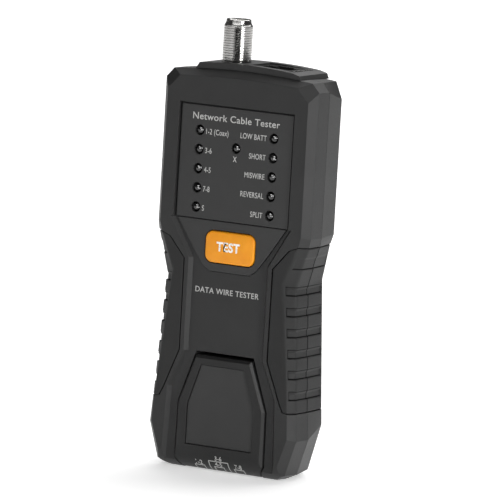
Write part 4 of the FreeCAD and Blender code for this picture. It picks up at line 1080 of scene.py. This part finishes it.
def spring(node, foot_low):
    """Point = helix (R(s) cos a, R(s) sin a, h s) + wire (cos v out + sin v up); R runs foot to tip."""
    low, high = corners(node)
    centre = (low + high) / 2
    wide, narrow = FOOT_R - WIRE, TIP_R - WIRE
    s = np.linspace(0, 1, 160)[:, None]
    v = np.linspace(0, 2 * np.pi, 10, endpoint=False)[None, :]
    a = s * COILS * 2 * np.pi
    radius = wide + (narrow - wide) * s
    radial = radius + WIRE * np.cos(v)
    height = WIRE * 1.05 + ((high[2] - low[2]) / MM - 2.1 * WIRE) * s + WIRE * np.sin(v)
    z = low[2] / MM + height if foot_low else high[2] / MM - height
    x, y = radial * np.cos(a) + centre[0] / MM, radial * np.sin(a) + centre[1] / MM
    piece = build(node + "_coil", [np.stack([x, y, z], axis=-1) * MM], "housing", zinc,
                  replaces=[node])
    cap_ends(piece)
    return piece


springs = [spring("cell_spring_left", True), spring("cell_spring_right", False)]
print(len(springs), "springs of", COILS, "coils")

# %% [markdown]
# ## Floor and light
#
# The tester stands on a pale floor.  A tall, narrow softbox on the right lights the bevels and leaves
# the front face dark; a wider one beside the camera and a weak one on the left lift the front a
# little, and a large one overhead and behind keeps the floor pale.  Bright metal shows whatever is
# around it, so it gets two helpers of its own: a black cloth and card in front, for the dark stripe
# down the middle of the jack, and a bright card above, for its neck.

# %% Set the floor and the lights
FLOOR_REACH = 6.0
CLOTH_NEAR, CLOTH_RISE = 0.3, 0.002
# Each light: azimuth and elevation in degrees, distance, width and height in metres, and watts.
LIGHTS = {
    "key_right": (67, 6, 1.0, 0.14, 0.9, 7.5),
    "front_soft": (40, 8, 1.0, 0.35, 0.9, 2.8),
    "fill_left": (-20, 8, 1.2, 0.25, 0.9, 0.5),
    "metal_card": (15, 42, 1.2, 1.4, 0.3, 4.0),
    "floor_wash": (190, 55, 1.8, 2.2, 1.6, 38.0),
}


def pale_floor():
    """A flat sheet of painted board, faintly mottled, lit a little from below like a light table."""
    material, tree, shader, place = start("painted_board_white", 1.45)
    mottle = noise(tree, place, 60.0, 2.0)
    tree.links.new(ramp(tree, mottle, [(0.3, "#f4f4f4"), (0.7, "#f8f8f8")]), shader.inputs["Base Color"])
    shader.inputs["Roughness"].default_value = 0.9
    shader.inputs["Specular IOR Level"].default_value = 0.1
    shader.inputs["Emission Color"].default_value = linear("#ffffff")
    shader.inputs["Emission Strength"].default_value = 0.45
    corner_points = [(-FLOOR_REACH, -FLOOR_REACH, 0), (FLOOR_REACH, -FLOOR_REACH, 0),
                     (FLOOR_REACH, FLOOR_REACH, 0), (-FLOOR_REACH, FLOOR_REACH, 0)]
    mesh = bpy.data.meshes.new("floor")
    mesh.from_pydata(corner_points, [], [(0, 1, 2, 3)])
    mesh.materials.append(material)
    floor = bpy.data.objects.new("floor", mesh)
    bpy.context.scene.collection.objects.link(floor)
    return floor


def black_flag(distance, spread, height):
    """Black cloth on the table and a card behind it, spread over an angle, seen only in reflections."""
    material, tree, shader, place = start("black_velvet", 1.4)
    nap = noise(tree, place, 2.0, 2.0)
    tree.links.new(ramp(tree, nap, [(0.3, "#080808"), (0.7, "#0c0c0c")]), shader.inputs["Base Color"])
    shader.inputs["Roughness"].default_value = 0.95
    turn = CAMERA_AZIMUTH + np.radians(np.linspace(-spread / 2, spread / 2, 13))
    outline = ((CLOTH_NEAR, CLOTH_RISE), (distance, CLOTH_RISE), (distance, height))
    points = np.stack([np.stack([np.sin(turn) * away, -np.cos(turn) * away, 0 * turn + z], axis=-1)
                       for away, z in outline])
    mesh = bpy.data.meshes.new("black_flag")
    mesh.from_pydata(points.reshape(-1, 3).tolist(), [], grid_faces(*points.shape[:2]).tolist())
    mesh.materials.append(material)
    flag = bpy.data.objects.new("black_flag", mesh)
    bpy.context.scene.collection.objects.link(flag)
    flag.visible_camera = False
    flag.visible_diffuse = False
    flag.visible_shadow = False
    return flag


def softbox(name, azimuth, elevation, distance, width, height, power):
    """Area light on a sphere round the object, aimed at its middle; azimuth 0 is straight in front."""
    a, e = math.radians(azimuth), math.radians(elevation)
    away = np.array([math.sin(a) * math.cos(e), -math.cos(a) * math.cos(e), math.sin(e)])
    right = np.array([math.cos(a), math.sin(a), 0.0])
    light = bpy.data.lights.new(name, "AREA")
    light.shape = "RECTANGLE"
    light.size, light.size_y = width, height
    light.energy = power
    lamp_object = bpy.data.objects.new(name, light)
    bpy.context.scene.collection.objects.link(lamp_object)
    matrix = np.eye(4)
    matrix[:3, 0], matrix[:3, 1], matrix[:3, 2] = right, np.cross(away, right), away
    matrix[:3, 3] = CAMERA_TARGET + away * distance
    lamp_object.matrix_world = Matrix(matrix.tolist())
    return lamp_object


def studio_world(ahead, behind):
    """Strength runs from ahead, in front of the tester, to behind, by the cosine to the front-right."""
    world = bpy.data.worlds.new("studio")
    world.use_nodes = True
    tree = world.node_tree
    tree.nodes.clear()
    direction = add(tree, "TexCoord").outputs["Generated"]
    toward = add(tree, "VectorMath", {"operation": "DOT_PRODUCT"}, i0=direction,
                 i1=(math.sin(CAMERA_AZIMUTH), -math.cos(CAMERA_AZIMUTH), 0.0)).outputs["Value"]
    strength = add(tree, "MapRange", Value=toward, From_Min=-0.2, From_Max=0.8, To_Min=behind, To_Max=ahead)
    sky = add(tree, "Background", Color=linear("#f4f4f4"), Strength=strength.outputs["Result"])
    add(tree, "OutputWorld", Surface=sky.outputs[0])
    bpy.context.scene.world = world


pale_floor()
for light_name, setting in LIGHTS.items():
    light_object = softbox(light_name, *setting)
    light_object.visible_glossy = light_name != "front_soft"
    light_object.visible_diffuse = light_name != "metal_card"
black_flag(distance=1.25, spread=54, height=0.5)
studio_world(ahead=0.03, behind=0.08)
bpy.context.scene.view_settings.view_transform = "Standard"

# %% [markdown]
# ## Done
#
# The last line prints a closing note.


print("looks added to the CAD model")
